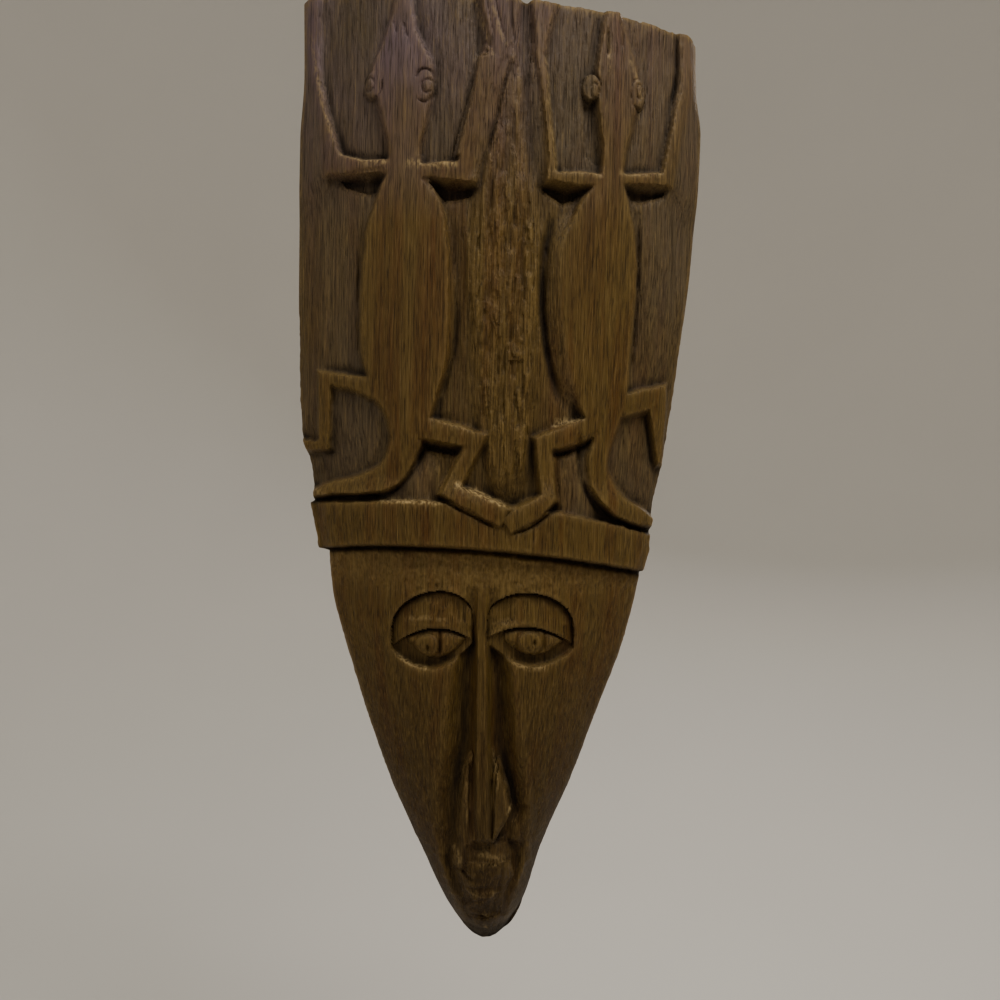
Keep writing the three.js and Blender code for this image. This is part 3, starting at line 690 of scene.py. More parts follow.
class Eye:
    """An arched socket with a full lid over a round eyeball, drawn by lines across it."""

    def __init__(
        self, outer, inner, corner, arch, arch_end, lid, lid_end, low, ball, iris, pupil, line, inner_facet,
    ):
        self.outer = outer
        self.inner = inner
        self.arch = bowed(corner + 11, arch_end, arch, 0.42)
        self.lid = bowed(corner, lid_end, lid, 0.8)
        self.lower = bowed(corner - 2, lid_end - 3, low, 0.75)
        self.ball = ball
        self.iris = iris
        self.pupil = pupil
        self.line = line
        self.inner_facet = inner_facet


# Each eyeball by its middle, lowest place, half width and rise of its lower edge at the ends
EYES = [
    Eye(-52.6, -10.2, 162, 193, 180, 173.4, 167.6, 151.4, (-29.6, 157.9, 15.6, 10),
        (-33.8, 163.8, 6.7), (-33.3, 163), -27.1, 0.3),
    Eye(44.2, -2.2, 164, 193, 179, 174.8, 168.6, 153.4, (23.4, 160.2, 16, 7.4),
        (20.4, 166, 7.1), (23, 166.7), 28.6, 0.9),
]


def eye_relief(sizes, eye, across, up, depth):
    t = (across - eye.outer) / (eye.inner - eye.outer)
    inside = (t > -0.01) & (t < 1.01) & (up > 140) & (up < 200)
    x = across[inside]
    h = up[inside]
    t = t[inside]
    face = depth[inside]
    base = sizes.face_setback / MM
    lid_depth = base + 0.9
    undercut = base + 5.0
    arch, lid, lower = (line(t) for line in (eye.arch, eye.lid, eye.lower))
    ends = 1 - np.sin(np.pi * np.clip(t, 0, 1)) ** 0.45
    socket = base + sizes.socket_depth / MM
    unsteady = 0.4 * waves(x, h, 2.2, 2.2, 89)

    up_lid = np.clip((h - lid) / np.maximum(1, arch - lid), 0, 1)
    bulge = mix(lid_depth + 2.2 * ends, socket + 0.4 * ends, up_lid**1.3)
    bulge = mix(bulge, socket + 0.9, eye.inner_facet * smooth(0.64, 0.76, t) * smooth(0, 0.4, up_lid))
    bulge += 1.5 * np.exp(-(((arch - h) / 0.9) ** 2)) - 0.5 * dimples(x, h, 6, 4.6, 87) - 0.25

    middle, low, half, rise = eye.ball
    ball = low + rise * ((x - middle) / half) ** 2 + 0.5 * unsteady
    up_ball = np.clip((h - ball) / np.maximum(1, lid - ball), 0, 1)
    round_ball = np.abs(2 * up_ball - 1) ** 2.2 + np.abs((x - middle) / half) ** 4
    globe = mix(base + 0.5, undercut - 2.4, np.clip(round_ball, 0, 1))
    globe += 2.0 * np.exp(-(((lid - h) / 1.0) ** 2))
    iris = np.hypot(x - eye.iris[0], h - eye.iris[1]) / eye.iris[2]
    globe += 0.7 * np.exp(-(((iris - 1) * eye.iris[2] / 0.8) ** 2)) - 0.4 * smooth(1, 0.85, iris)
    pupil = np.hypot((x - eye.pupil[0]) / 0.9, (h - eye.pupil[1]) / 1.9)
    globe += 1.5 * smooth(1.3, 0.4, pupil)
    globe += 1.3 * np.exp(-(((x - eye.line) / 0.65) ** 2)) * smooth(0.05, 0.2, up_ball)
    globe -= 0.5 * dimples(x, h, 3.4, 3.4, 85) * smooth(0.9, 1.1, iris)

    above_lower = h - lower + unsteady
    shelf = mix(face + 0.2, undercut - 2.2 * ends, smooth(0.1, 2.4, above_lower))
    on_ball = (h > ball) & (np.abs(x - middle) < half)
    carved = np.where(h > arch, face, np.where(h > lid, bulge, np.where(on_ball, globe, shelf)))
    result = depth.copy()
    result[inside] = np.where(above_lower < 0, face, carved)
    return result


def cut_lines(lines, across, up, depth, seed):
    for i, (points, half, deep) in enumerate(lines):
        away, along = from_line(rounded(points), across, up)
        ends = smooth(0, 0.12, along) * smooth(1, 0.88, along)
        unsteady = 1 + 0.3 * waves(across, up, 3, 6, seed + i)
        depth = depth + deep * mix(0.4, 1, ends) * unsteady * (1 - smooth(0, half, away))
    return depth


# The whole front

def front_depth(sizes, across, up):
    """Depth of the carved front from the wall, how rough the wood was left and where it is ground."""
    smooth_front = skin(across, up)
    upper, rough, ground = upper_relief(sizes, across, up)
    crumble = 0.5 * waves(across, up, 3, 3, 61) + 0.3 * waves(across, up, 1.4, 1.4, 63)
    over_band = smooth(-0.9, 0.9, band_top(across) + crumble - up)
    lizards = hand_cut(across, up, 11) + np.minimum(
        lizard_distance(LEFT_BODY, LEFT_LIMBS, across, up),
        lizard_distance(RIGHT_BODY, RIGHT_LIMBS, across, up),
    )
    band = band_relief(sizes, across, up)
    band += 0.8 * (1 - smooth(0, 2.0, band_top(across) - up))
    band += 0.9 * (1 - smooth(0, 1.8, up - band_bottom(across)))
    band = mix(band, np.minimum(upper, band), smooth(0.7, -0.7, lizards))
    depth = mix(upper, band, over_band)
    for outline, deep in POCKETS:
        edge = from_outline(outline, across, up, 6)
        depth = depth + deep * smooth(0.7, -2.2, edge)
    depth = cut_lines(CUTS, across, up, depth, 65)
    under_band = smooth(-0.7, 0.7, band_bottom(across) + 0.4 * crumble - up)
    depth = mix(depth, face_relief(sizes, across, up), under_band)
    rough = rough * (1 - over_band)
    ground = ground * (1 - over_band)

    rim = np.minimum(across - left_edge(up), right_edge(up) - across)
    rim = np.minimum(rim, 2.2 + top_edge(across) - up)
    drop = 2.6 * (1 - np.sqrt(np.clip(1 - (1 - np.clip(rim / 3.4, 0, 1)) ** 2, 0, 1)))
    return smooth_front - depth - drop, rough, ground


# Properties

def depth_of(name, description, millimetres):
    return FloatProperty(name=name, description=description, default=millimetres * MM, unit="LENGTH")


class MaskSizes(bpy.types.PropertyGroup):
    """Depths of the carving, and how finely it is cut."""

    ground_depth: depth_of("Ground depth", "Ground round the lizards below their backs", 5.2)
    ridge_depth: depth_of("Ridge depth", "Rough ridge between the lizards below their backs", 2.5)
    band_proud: depth_of("Headband", "Headband above the lizards' backs", 1.5)
    feet_proud: depth_of(
        "Feet", "Feet and tail ends above the lizards' backs where they lie on the headband", 3.6
    )
    face_setback: depth_of("Face setback", "Face below the lizards' backs", 5)
    valley_depth: depth_of("Valleys", "Hollows beside the nose below the face", 9)
    nose_tip_rise: depth_of("Nose tip", "End of the nose above the face", 4)
    lip_rise: depth_of("Lips", "Lips above the valleys", 5)
    socket_depth: depth_of("Sockets", "Eye sockets under the brows, below the face", 2.8)
    eye_boss_rise: depth_of("Lizards' eyes", "Lizards' ring eyes above their heads", 0.5)
    hollow_depth: depth_of("Hollow", "Wood left in front of the hollow in the back", 27)
    cutting_step: depth_of("Cutting step", "Spacing of the points that the front is carved with", 0.7)
    triangles: IntProperty(
        name="Triangles", description="Triangles of the finished mask", default=185000, min=20000,
    )


def colour(name, description, code):
    return FloatVectorProperty(
        name=name, description=description, default=linear(code), size=4, subtype="COLOR", min=0, max=1
    )


class MaskColours(bpy.types.PropertyGroup):
    """Colours of the wood and of the stage."""

    wood: colour("Wood", "Rubbed and oiled hardwood", "554119")
    # Pale wood also paints highlights on convex edges and light on the forehead under the headband.
    pale: colour("Pale wood", "Wood worn or splintered bare along the edges", "8a7040")
    # Dark wood also paints the chin darker: its patina together with painted shade.
    dark: colour("Dark wood", "Late wood and open pores", "221401")
    russet: colour("Russet", "Redder patches on the bodies and cheeks", "4a2b05")
    grey: colour("Grey", "Duller wood on the ground round the lizards", "504536")
    weathered: colour("Weathered wood", "Faintly purple grey wood in the upper left corner", "635259")
    # This colour also paints the shade in the cuts and in the hollow of the back.
    grime_and_painted_shade: colour("Grime", "Old oil and dust in the cuts", "0d0602")
    # This colour also paints highlights.
    splinter_and_highlight: colour("Splinters", "Wood freshly splintered along the edges", "b89c68")
    raw: colour("Raw wood", "Unoiled wood in the hollow of the back", "6a5130")
    backdrop: colour("Backdrop", "Matt pale paint of floor and backdrop", "c6c0b5")


# Modelling helpers

def in_metres(across, depth, up):
    return np.stack((across * MM, -depth * MM, up * MM + TIP_Z), 1)


def in_millimetres(spots):
    """Across, up and depth of places given in metres."""
    return spots[:, 0] / MM, (spots[:, 2] - TIP_Z) / MM, -spots[:, 1] / MM


def start_mesh(name):
    """Names the primitive just added and gives its mesh the same name."""
    made = bpy.context.object
    made.name = name
    made.data.name = name
    return made


def deselect():
    if bpy.context.object and bpy.context.object.mode != "OBJECT":
        bpy.ops.object.mode_set(mode="OBJECT")
    bpy.ops.object.select_all(action="DESELECT")


def places(mesh):
    spots = np.empty(len(mesh.vertices) * 3)
    mesh.vertices.foreach_get("co", spots)
    return spots.reshape(-1, 3)


def move_to(mesh, spots):
    mesh.vertices.foreach_set("co", spots.astype(np.float32).ravel())
    mesh.update()


def add_grid(name, columns, rows, spots_at, sizes):
    """Adds a grid; spots_at places its points by their shares of its width and height."""
    deselect()
    bpy.ops.mesh.primitive_grid_add(x_subdivisions=columns, y_subdivisions=rows, size=1)
    made = start_mesh(name)
    shares = places(made.data) + 0.5
    move_to(made.data, spots_at(sizes, shares[:, 0], shares[:, 1]))
    return made


def edit_border():
    """Starts to edit the active shell, with only its open border selected."""
    bpy.ops.object.mode_set(mode="EDIT")
    bpy.ops.mesh.select_mode(type="EDGE")
    bpy.ops.mesh.select_all(action="DESELECT")
    bpy.ops.mesh.select_non_manifold()


def extrude_border(piece, target):
    """Extrudes the open border of a shell; target gives the new places from the old ones."""
    edit_border()
    bpy.ops.mesh.extrude_region_move()
    bpy.ops.object.mode_set(mode="OBJECT")
    chosen = np.empty(len(piece.data.vertices), bool)
    piece.data.vertices.foreach_get("select", chosen)
    spots = places(piece.data)
    spots[chosen] = target(spots[chosen])
    move_to(piece.data, spots)


def close_border():
    """Closes the open border of the active shell with one face, and turns all faces outward."""
    edit_border()
    bpy.ops.mesh.edge_face_add()
    bpy.ops.mesh.select_all(action="SELECT")
    bpy.ops.mesh.normals_make_consistent(inside=False)
    bpy.ops.object.mode_set(mode="OBJECT")


def apply_modifier(piece, kind, **settings):
    bpy.context.view_layer.objects.active = piece
    modifier = piece.modifiers.new(kind.title(), kind)
    for name, value in settings.items():
        setattr(modifier, name, value)
    bpy.ops.object.modifier_apply(modifier=modifier.name)


# The mask

# Left and right ends of the top edge
TOP_ENDS = (-108.4, 108.3)


def mask_spots(sizes, t, s):
    """Places of the carved front, by shares of the width and height of its grid."""
    raised = s * HEIGHT
    up = raised - (HEIGHT - top_edge(mix(*TOP_ENDS, t))) * smooth(HEIGHT - 80, HEIGHT, raised)
    across = mix(left_edge(up), right_edge(up), t)
    notch = 0.9 * np.maximum(0, waves(across, up, 2.6, 200, 71)) + 0.5 * waves(across, up, 6, 200, 73)
    corner = 2.6 * smooth(104, 109, across) ** 2
    up = up - (notch + corner) * smooth(HEIGHT - 30, HEIGHT, raised)
    up = up + 0.9 * (2 * t - 1) ** 2 * (1 - smooth(0, 12, raised))
    ragged = 0.35 * waves(up, across * 0, 5, 400, 75) + 0.25 * waves(up, across * 0, 1.7, 400, 77)
    across = across + ragged * (smooth(0.97, 1, t) - smooth(0.03, 0, t))
    depth, _, _ = front_depth(sizes, across, up)
    return in_metres(across, depth, up)


def side_ring(level, inset, seed):
    """Where the side wall passes at one distance from the wall, in millimetres, drawn in by an inset."""

    def target(spots):
        across, up, depth = in_millimetres(spots)
        middle = (left_edge(up) + right_edge(up)) / 2
        half = (right_edge(up) - left_edge(up)) / 2
        share = (across - middle) / half
        pull = inset + 0.4 * waves(up, across, 9, 60, seed)
        across = across - np.sign(share) * pull * smooth(0.9, 1, np.abs(share))
        top = smooth(6, 1, top_edge(across) - up)
        up = up - pull * top + inset * smooth(6, 1, up)
        return in_metres(across, np.minimum(depth, level), up)

    return target


# The hollow in the back: lowest and highest place, share of the mask's width, least depth, points of its
# floor's grid, and how far its cutter reaches out of the back
HOLLOW_LOW = 46.0
HOLLOW_HIGH = 470.0
HOLLOW_WIDTH = 0.78
HOLLOW_EDGE = 7.0
HOLLOW_COLUMNS = 110
HOLLOW_ROWS = 240
BEHIND_BACK = 6 * MM


def hollow_spots(sizes, t, s):
    """Places of the hollow's floor, which follows the front behind an even wall of wood.

    Its rows lie closer together towards its two rounded ends.
    """
    s = (1 - np.cos(np.pi * s)) / 2
    up = mix(HOLLOW_LOW, HOLLOW_HIGH, s)
    left = np.where(up < FACE_TOP, face_left(up), upper_left(up))
    right = np.where(up < FACE_TOP, face_right(up), upper_right(up))
    middle = (left + right) / 2
    narrowing = (1 - np.abs(2 * np.clip(s, 0.0001, 0.9999) - 1) ** 5) ** 0.4
    across = middle + (right - left) / 2 * HOLLOW_WIDTH * narrowing * (2 * t - 1)
    easing = np.minimum(1, 0.45 + np.sin(np.pi * s) * 1.6)
    floor = (skin(across, up) - sizes.hollow_depth / MM) * easing
    bowl = 1 - np.abs(2 * t - 1) ** 5
    gouged = 2.2 * dimples(across, up, 15, 34, 81) + 0.4 * waves(across, up, 6, 16, 83)
    depth = np.maximum(HOLLOW_EDGE, floor) * mix(0.72, 1, bowl) + gouged
    return in_metres(across, depth, up)


# Rings of the side wall from front to back: distance from the wall, inset and seed of its unevenness
SIDE_RINGS = ((14, 0.2, 91), (9, 0.3, 93), (4, 0.2, 95), (1.2, 0.0, 97), (0, 1.4, 99))


def carve_front(sizes):
    step = sizes.cutting_step / MM
    piece = add_grid("carved_mask", round(WIDTH / step), round(HEIGHT / step), mask_spots, sizes)
    for level, inset, seed in SIDE_RINGS:
        extrude_border(piece, side_ring(level, inset, seed))
    close_border()
    return piece


def cut_hollow(sizes, piece):
    cutter = add_grid("hollow_cutter", HOLLOW_COLUMNS, HOLLOW_ROWS, hollow_spots, sizes)
    extrude_border(cutter, lambda spots: spots * (1, 0, 1) + (0, BEHIND_BACK, 0))
    close_border()
    deselect()
    apply_modifier(piece, "BOOLEAN", operation="DIFFERENCE", solver="MANIFOLD", object=cutter)
    bpy.data.objects.remove(cutter)


def blurred(field, reach):
    """A field averaged over a square of cells, twice, so that it comes out soft."""
    for _ in range(2):
        for axis in (0, 1):
            padded = np.concatenate(
                (np.repeat(field.take([0], axis), reach + 1, axis), field,
                 np.repeat(field.take([-1], axis), reach, axis)), axis,
            )
            total = np.cumsum(padded, axis)
            width = 2 * reach + 1
            ahead = total.take(range(width, total.shape[axis]), axis)
            behind = total.take(range(0, total.shape[axis] - width), axis)
            field = (ahead - behind) / width
    return field


def field_at(field, across, up, start, step):
    x = np.clip((across - start[0]) / step, 0, field.shape[0] - 1.001)
    y = np.clip((up - start[1]) / step, 0, field.shape[1] - 1.001)
    return interpolated(field, x, y, lambda t: t)


# Edges where the wood broke into splinters or rubbed pale, and painted highlights on the top edges of the
# arms, the end of the nose, the lower lip and the chin: points, half width and how pale
PALE_EDGES = [
    # Tops of the upper arms: pale splinters with painted highlight where the top edges catch the light
    ([[-85, 427], [-72, 421.6], [-60.7, 419.6]], 1.4, 0.6),
    ([[-48.3, 417.6], [-36, 416.6], [-23.7, 416]], 1.6, 0.5),
    ([[28, 414.4], [44, 414.6], [55, 414.4]], 1.0, 0.3),
    ([[64, 416.8], [76, 418], [88, 420.6]], 1.0, 0.3),
    ([[-104, 492], [-98.6, 462], [-90, 434]], 1.0, 0.35),
    ([[22.6, 478], [25.4, 446], [29.6, 418]], 1.0, 0.3),
    ([[31, 282.4], [38, 284.6], [46, 286.4]], 1.8, 0.8),
    ([[-33, 283.4], [-22, 280.4], [-12, 276.6]], 1.2, 0.25),
    ([[-19.5, 249.6], [-4, 243.5], [4.4, 239.4]], 1.9, 0.75),
    ([[-60, 240.8], [-44, 240.2], [-28, 239.8]], 1.3, 0.7),
    ([[-99.4, 247.6], [-96, 245], [-92, 243]], 1.4, 0.35),
    ([[-50.4, 158.4], [-43, 154], [-34, 152]], 1.0, 0.5),
    ([[12, 156], [20, 153.4], [29, 153.4]], 0.9, 0.4),
    # Painted highlight on the corner of the nose's right facet
    ([[11.6, 78], [12, 76.4], [11.2, 74]], 0.9, 0.6),
    ([[-11.2, 94], [-11.4, 84], [-10.8, 70]], 0.6, 0.25),
    ([[2.6, 107], [4.3, 98], [5, 88]], 0.6, 0.4),
    ([[-17.6, 55], [-14.6, 50], [-15, 46]], 1.9, 0.25),
    ([[-5, 54], [0, 53], [9, 50]], 1.6, 0.25),
    # Painted highlight along the top of the lower lip
    ([[-4, 48], [7, 47.6]], 0.7, 0.3),
    ([[-14, 500], [-9, 485], [-5.4, 472.6]], 0.7, 0.35),
    ([[-8, 506], [-4.4, 494], [1, 478]], 1.4, 0.25),
    ([[-8, 31], [-2, 30.4], [4.6, 31]], 2.2, 0.16),
    ([[-2, 18.8], [1.4, 17]], 1.1, 0.3),
    # Painted highlight on the chin
    ([[-0.4, 10], [1, 8.6]], 1.1, 0.3),
    ([[-45, 178], [-34, 179], [-24, 178]], 1.2, 0.25),
    ([[56, 491], [57, 470]], 1.2, 0.25),
    ([[68, 480], [74.6, 462], [75, 450]], 1.1, 0.25),
]


def below_both_sides(depth, reach):
    """How far a place lies below what is on both sides of it, in the direction where that is most."""
    most = np.zeros(depth.shape)
    for right, ahead in ((1, 0), (0, 1), (1, 1), (1, -1)):
        one = np.roll(depth, (reach * right, reach * ahead), (0, 1))
        other = np.roll(depth, (-reach * right, -reach * ahead), (0, 1))
        most = np.maximum(most, np.minimum(one, other) - depth)
    return most


# The flat grid over the mask on which its wear, painted shade and painted highlights are worked out
MARKS_START = (-114.0, -2.0)
MARKS_END = (116, 520)
MARKS_STEP = 0.8


def mark_wear_and_shading(sizes, piece):
    """Stores on each point how deep it lies in a cut, for old dirt and painted shade, how rubbed its edges
    are, with painted highlights, and how bare the wood is there.
    """
    across, up = np.meshgrid(
        *(np.arange(low, high, MARKS_STEP) for low, high in zip(MARKS_START, MARKS_END)), indexing="ij"
    )
    inside = np.clip(across, left_edge(up) + 1, right_edge(up) - 1)
    depth, rough, ground = front_depth(sizes, inside.ravel(), np.clip(up.ravel(), 2, HEIGHT - 3))
    depth = depth.reshape(across.shape)
    fine = blurred(depth, 2) - depth
    broad = blurred(depth, 6) - depth
    # Painted shade together with old dirt: darker the further a place lies below what is on both sides of
    # it and below its blurred surroundings.
    recess = 0.85 * np.clip(below_both_sides(depth, 2) / 1.1 - 0.15, 0, 1)
    recess += 0.6 * np.clip(below_both_sides(depth, 5) / 3.4 - 0.1, 0, 1)
    recess += 0.5 * np.clip(below_both_sides(depth, 15) / 9, 0, 1) + 0.12 * np.clip(broad / 3, 0, 1)
    recess = blurred(recess, 1)
    # Paler on convex edges: partly rubbed wear, partly painted highlight where edges catch the light.
    worn_and_highlit = 0.22 * np.clip(-fine / 0.6 - 0.1, 0, 1) + 0.1 * np.clip(-broad / 3.0, 0, 1)
    worn_and_highlit *= 1 - 0.8 * smooth(6, 3, np.abs(across - nose_line(up))) * smooth(212, 204, up)
    # Painted light on the pitted forehead under the headband, where the band casts shade, with the wood's
    # pale crumbs there.
    worn_and_highlit += 0.4 * smooth(186, 204, up) * smooth(0.5, -0.5, up - band_bottom(across) + 2)
    splintered_and_highlit = np.zeros(across.shape)
    for points, half, pale in PALE_EDGES:
        away, _ = from_line(rounded(points), across, up)
        splintered_and_highlit = np.maximum(splintered_and_highlit, pale * (1 - smooth(0.3 * half, 1.2 * half, away)))

    x, y, out = in_millimetres(places(piece.data))

    def at_points(field):
        return field_at(field.reshape(across.shape), x, y, MARKS_START, MARKS_STEP)

    on_front = smooth(4.5, 1.5, np.abs(out - at_points(depth)))
    rim = np.minimum(x - left_edge(y), right_edge(y) - x)
    rim = np.minimum(rim, top_edge(x) - y)
    rim_wear = smooth(2.4, 0.2, rim) * smooth(8, 16, out) * smooth(40, 180, y)
    in_hollow = smooth(3, 9, rim) * (1 - on_front)
    values = {
        # The hollow in the back gets painted shade too.
        "recess": np.clip(at_points(recess), 0, 1) * on_front + 0.35 * in_hollow,
        "worn_and_highlit": np.clip(at_points(worn_and_highlit) * on_front + 0.8 * rim_wear, 0, 1),
        "splintered_and_highlit": at_points(splintered_and_highlit) * on_front,
        "rough_cut": at_points(rough) * on_front,
        "ground": at_points(ground) * on_front,
        "bare": in_hollow,
    }
    for name, value in values.items():
        layer = piece.data.attributes.new(name, "FLOAT", "POINT")
        layer.data.foreach_set("value", value.astype(np.float32))


# Materials

def start_material(name):
    """A new material, its empty node tree, and the places in the object's own space."""
    material = bpy.data.materials.new(name)
    material.use_nodes = True
    tree = material.node_tree
    tree.nodes.clear()
    return material, tree, node(tree, "ShaderNodeTexCoord").outputs["Object"]


# Sizes of the patterns in the wood, across and along its grain
GRAIN_WIDTH = 1.0 * MM
GRAIN_LENGTH = 85 * MM
PORE_WIDTH = 0.6 * MM
PORE_LENGTH = 13 * MM
FIGURE_WIDTH = 11 * MM
FIGURE_LENGTH = 190 * MM
PATCH_SIZE = 60 * MM
SPECK_SIZE = 1.6 * MM


def carved_hardwood(colours):
    """Oiled hardwood cut with gouge and knife: fine streaked grain with open pores, old dirt and painted
    shade dark in the cuts, edges rubbed or broken pale with painted highlights among them, painted shade
    towards the chin, a soft sheen on the open faces and none in the cuts."""
    material, tree, place = start_material("oiled carved hardwood")

    def stretched(width, length, turn=0.0):
        spread = node(
            tree, "ShaderNodeMapping", {"Vector": place},
            Scale=(1 / width, 1 / width, 1 / length), Rotation=(0, turn, 0),
        )
        return spread.outputs[0]

    def clouds(vector, detail=3.0, roughness=0.55, distortion=0.0):
        made = node(
            tree, "ShaderNodeTexNoise", {"Vector": vector}, Scale=1.0, Detail=detail,
            Roughness=roughness, Distortion=distortion,
        )
        return made.outputs["Fac"]

    def limits(value, low, high, out_low=0.0, out_high=1.0):
        made = node(tree, "ShaderNodeMapRange", {"Value": value}, clamp=True)
        ends = {"From Min": low, "From Max": high, "To Min": out_low, "To Max": out_high}
        for name, number in ends.items():
            made.inputs[name].default_value = number
        return made.outputs[0]

    def times(a, b):
        made = node(tree, "ShaderNodeMath", {0: a}, operation="MULTIPLY", use_clamp=True)
        if isinstance(b, float):
            made.inputs[1].default_value = b
        else:
            tree.links.new(b, made.inputs[1])
        return made.outputs[0]

    def blend(share, under, over, kind="MIX"):
        made = node(tree, "ShaderNodeMix", data_type="RGBA", blend_type=kind)
        tree.links.new(share, made.inputs[0])
        for slot, source in ((6, under), (7, over)):
            if isinstance(source, bpy.types.NodeSocket):
                tree.links.new(source, made.inputs[slot])
            else:
                made.inputs[slot].default_value = source
        return made.outputs[2]

    def stored(name):
        return node(tree, "ShaderNodeAttribute", attribute_name=name).outputs["Fac"]

    recess = stored("recess")
    worn_and_highlit = stored("worn_and_highlit")
    rough_cut = stored("rough_cut")
    bare = stored("bare")
    splintered_and_highlit = stored("splintered_and_highlit")
    ground = stored("ground")

    streaks = clouds(stretched(GRAIN_WIDTH, GRAIN_LENGTH, 0.01), 4.0, 0.65)
    pores = clouds(stretched(PORE_WIDTH, PORE_LENGTH), 2.0, 0.5)
    figure = clouds(stretched(FIGURE_WIDTH, FIGURE_LENGTH), 3.0, 0.6, 0.4)
    patches = clouds(stretched(PATCH_SIZE, PATCH_SIZE * 1.6), 3.0, 0.6)
    specks = clouds(stretched(SPECK_SIZE, SPECK_SIZE * 2.2), 3.0, 0.6)
    height = node(tree, "ShaderNodeSeparateXYZ", {0: place}).outputs

    tone = blend(limits(figure, 0.45, 0.7, 0.0, 0.8), colours.wood, colours.russet)
    upper_left = times(limits(height[2], -0.1, 0.0), limits(height[0], 0.06, -0.1, 0.25, 1.0))
    tone = blend(times(limits(patches, 0.25, 0.5), upper_left), tone, colours.weathered)
    tone = blend(times(ground, limits(patches, 0.7, 0.3, 0.25, 0.75)), tone, colours.grey)
    # Darker towards the chin: partly the wood's dark patina, partly painted shade where the lower face gets
    # less light.
    chin = limits(height[2], TIP_Z + 0.18, TIP_Z + 0.02, 0.0, 0.85)
    tone = blend(chin, tone, colours.dark)
    tone = blend(limits(streaks, 0.46, 0.7, 0.0, 0.58), tone, colours.dark)
    tone = blend(limits(streaks, 0.46, 0.3, 0.0, 0.2), tone, colours.pale)
    tone = blend(limits(pores, 0.54, 0.68, 0.0, 0.65), tone, colours.dark)
    tone = blend(limits(pores, 0.42, 0.3, 0.0, 0.22), tone, colours.pale)
    fibres = times(limits(rough_cut, 0.5, 1.0), limits(streaks, 0.5, 0.34))
    tone = blend(times(fibres, 0.22), tone, colours.pale)
    tone = blend(times(bare, 0.6), tone, colours.raw)
    # Pale on convex edges and under the headband: rubbed wear and pale crumbs, with painted highlight and
    # painted light.
    ragged = times(worn_and_highlit, limits(specks, 0.36, 0.6, 0.25, 1.0))
    tone = blend(times(ragged, 0.8), tone, colours.pale)
    # Pale splinters and painted highlights along the listed lines.
    tone = blend(times(splintered_and_highlit, limits(specks, 0.42, 0.6)), tone, colours.splinter_and_highlight)
    # Painted shade with old dirt, dark in the cuts and in the hollow of the back.
    grime_and_painted_shade = limits(recess, 0.05, 1.0)
    tone = blend(times(grime_and_painted_shade, 0.85), tone, colours.grime_and_painted_shade)

    roughness = limits(recess, 0.0, 0.8, 0.55, 0.8)
    cut_height = node(tree, "ShaderNodeMath", {0: limits(streaks, 0.3, 0.75, 1.0, 0.0)}, operation="ADD")
    tree.links.new(limits(pores, 0.58, 0.7, 0.0, -0.9), cut_height.inputs[1])
    fibre = node(
        tree, "ShaderNodeBump", {"Height": cut_height.outputs[0]}, Strength=0.65, Distance=0.4 * MM,
    )
    torn = times(limits(specks, 0.35, 0.65), limits(rough_cut, 0.1, 0.8, 0.15, 1.0))
    chipped = node(
        tree, "ShaderNodeBump", {"Height": torn, "Normal": fibre.outputs[0]}, Strength=0.5,
        Distance=0.5 * MM,
    )
    shader = node(
        tree, "ShaderNodeBsdfPrincipled",
        {"Base Color": tone, "Roughness": roughness, "Normal": chipped.outputs[0]}, IOR=1.45,
        Specular_IOR_Level=0.2,
    )
    node(tree, "ShaderNodeOutputMaterial", {"Surface": shader.outputs[0]})
    return material


def matt_paint(colours):
    """Matt emulsion paint on floor and backdrop: pale, even and without any gloss."""
    material, tree, place = start_material("matt emulsion paint")
    cloud = node(tree, "ShaderNodeTexNoise", {"Vector": place}, Scale=3.0, Detail=2.0)
    shade = node(tree, "ShaderNodeMix", {0: cloud.outputs["Fac"]}, data_type="RGBA")
    shade.inputs[6].default_value = colours.backdrop
    shade.inputs[7].default_value = tuple(0.94 * c for c in colours.backdrop[:3]) + (1.0,)
    shader = node(tree, "ShaderNodeBsdfPrincipled", {"Base Color": shade.outputs[2]}, Roughness=0.9)
    node(tree, "ShaderNodeOutputMaterial", {"Surface": shader.outputs[0]})
    return material


# Operators

class MASK_OT_carve(bpy.types.Operator):
    """Carves the mask in one piece, hollows its back and gives it its oiled wood"""

    bl_idname = "wall_mask.carve"
    bl_label = "Carve mask"

    def execute(self, context):
        sizes = context.scene.mask_sizes
        piece = carve_front(sizes)
        cut_hollow(sizes, piece)
        faces = len(piece.data.polygons)
        corners = len(piece.data.loops)
        apply_modifier(piece, "DECIMATE", ratio=min(1.0, sizes.triangles / (corners - 2 * faces)))
        piece.select_set(True)
        bpy.ops.object.shade_smooth_by_angle(angle=math.radians(50))
        mark_wear_and_shading(sizes, piece)
        piece.data.materials.clear()
        piece.data.materials.append(carved_hardwood(context.scene.mask_colours))
        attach(piece, "root")
        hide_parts("mask")
        return {"FINISHED"}


# The stage in metres, and its lights: name, place, width of the disc and power
FLOOR_BELOW = 0.3
COVE_RADIUS = 1.9
COVE_BEND = 1.1
COVE_STEPS = 20
COVE_HEIGHT = 1.9
COVE_SIDES = 96
LIGHTS = (
    ("key_light", (0.4, -0.6, 0.8), 0.5, 12.0),
    ("fill_light", (-0.9, -0.9, 0.3), 1.0, 2.8),
    ("back_light", (0.5, 1.0, 0.5), 0.9, 11.0),
)
ROOM_LIGHT = "f4f1ec"
ROOM_STRENGTH = 0.55


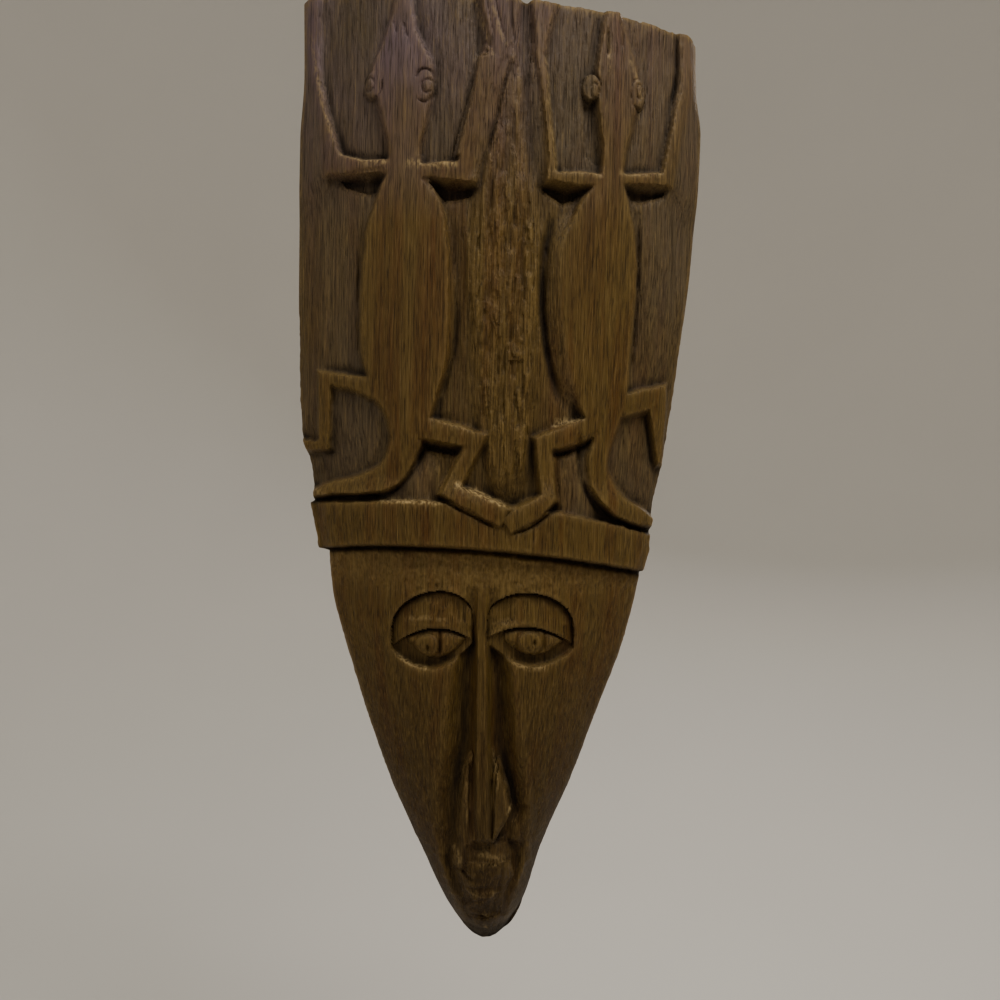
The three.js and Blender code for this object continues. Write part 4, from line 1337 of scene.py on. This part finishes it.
class MASK_OT_stage(bpy.types.Operator):
    """Sets up the pale round cove, the soft lights and the camera"""

    bl_idname = "wall_mask.stage"
    bl_label = "Set stage"

    def execute(self, context):
        deselect()
        bpy.ops.mesh.primitive_circle_add(
            vertices=COVE_SIDES, radius=COVE_RADIUS - COVE_BEND, fill_type="TRIFAN",
            location=(0, 0, TIP_Z - FLOOR_BELOW),
        )
        cove = start_mesh("floor_and_backdrop")
        for step in range(1, COVE_STEPS + 1):
            angle = math.radians(90) * step / COVE_STEPS
            outward = COVE_RADIUS - COVE_BEND * (1 - math.sin(angle))
            raised = COVE_BEND * (1 - math.cos(angle))
            extrude_border(cove, cove_ring(outward, raised))
        extrude_border(cove, cove_ring(COVE_RADIUS, COVE_HEIGHT))
        bpy.ops.object.transform_apply(location=True, rotation=True, scale=True)
        cove.select_set(True)
        bpy.ops.object.shade_smooth_by_angle(angle=math.radians(40))
        cove.data.materials.append(matt_paint(context.scene.mask_colours))
        cove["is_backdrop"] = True
        add_lights(context.scene)
        add_camera(context.scene)
        return {"FINISHED"}


def cove_ring(outward, raised):
    def target(spots):
        reach = np.hypot(spots[:, 0], spots[:, 1])
        return np.stack(
            (spots[:, 0] / reach * outward, spots[:, 1] / reach * outward, spots[:, 0] * 0 + raised), 1
        )

    return target


def add_lights(scene):
    middle = (0.0, -0.03, (MASK_LOW.z + MASK_HIGH.z) / 2)
    for name, place, size, power in LIGHTS:
        bpy.ops.object.light_add(type="AREA", location=place)
        lamp = bpy.context.object
        lamp.name = name
        lamp.data.shape = "DISK"
        lamp.data.size = size
        lamp.data.energy = power
        aim = lamp.location - type(lamp.location)(middle)
        lamp.rotation_euler = aim.to_track_quat("Z", "Y").to_euler()
        lamp.visible_camera = False
    world = bpy.data.worlds.new("soft room light")
    world.use_nodes = True
    background = world.node_tree.nodes["Background"]
    background.inputs["Color"].default_value = linear(ROOM_LIGHT)
    background.inputs["Strength"].default_value = ROOM_STRENGTH
    scene.world = world


CAMERA_PLACE = (-0.0151, -0.5738, TIP_Z + 0.242)
CAMERA_TURN = -2.0
CAMERA_ROLL = -1.1
CAMERA_LENS = 36.0


def add_camera(scene):
    bpy.ops.object.camera_add(
        location=CAMERA_PLACE,
        rotation=(math.radians(90), math.radians(CAMERA_ROLL), math.radians(CAMERA_TURN)),
    )
    camera = bpy.context.object
    camera.data.lens = CAMERA_LENS
    camera.data.sensor_width = 36.0
    scene.camera = camera


class MASK_PT_panel(bpy.types.Panel):
    """Shows the buttons that carve the mask and set the stage, and lists its sizes and colours"""

    bl_idname = "MASK_PT_panel"
    bl_label = "Carved wall mask"
    bl_space_type = "VIEW_3D"
    bl_region_type = "UI"
    bl_category = "Wall Mask"

    def draw(self, context):
        layout = self.layout
        for operator in (MASK_OT_carve, MASK_OT_stage):
            layout.operator(operator.bl_idname)
        for group in (context.scene.mask_sizes, context.scene.mask_colours):
            box = layout.box()
            for name in group.__annotations__:
                box.prop(group, name)


CLASSES = (MaskSizes, MaskColours, MASK_OT_carve, MASK_OT_stage, MASK_PT_panel)


def register():
    for item in CLASSES:
        bpy.utils.register_class(item)
    bpy.types.Scene.mask_sizes = PointerProperty(type=MaskSizes)
    bpy.types.Scene.mask_colours = PointerProperty(type=MaskColours)


def unregister():
    del bpy.types.Scene.mask_colours
    del bpy.types.Scene.mask_sizes
    for item in reversed(CLASSES):
        bpy.utils.unregister_class(item)


def main():
    register()
    bpy.ops.wall_mask.carve()
    bpy.ops.wall_mask.stage()
    boxes = {"cad": CAD_BOX, "visual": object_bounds()}
    {name: [list(corner) for corner in box] for name, box in boxes.items()}


if __name__ == "__main__":
    main()
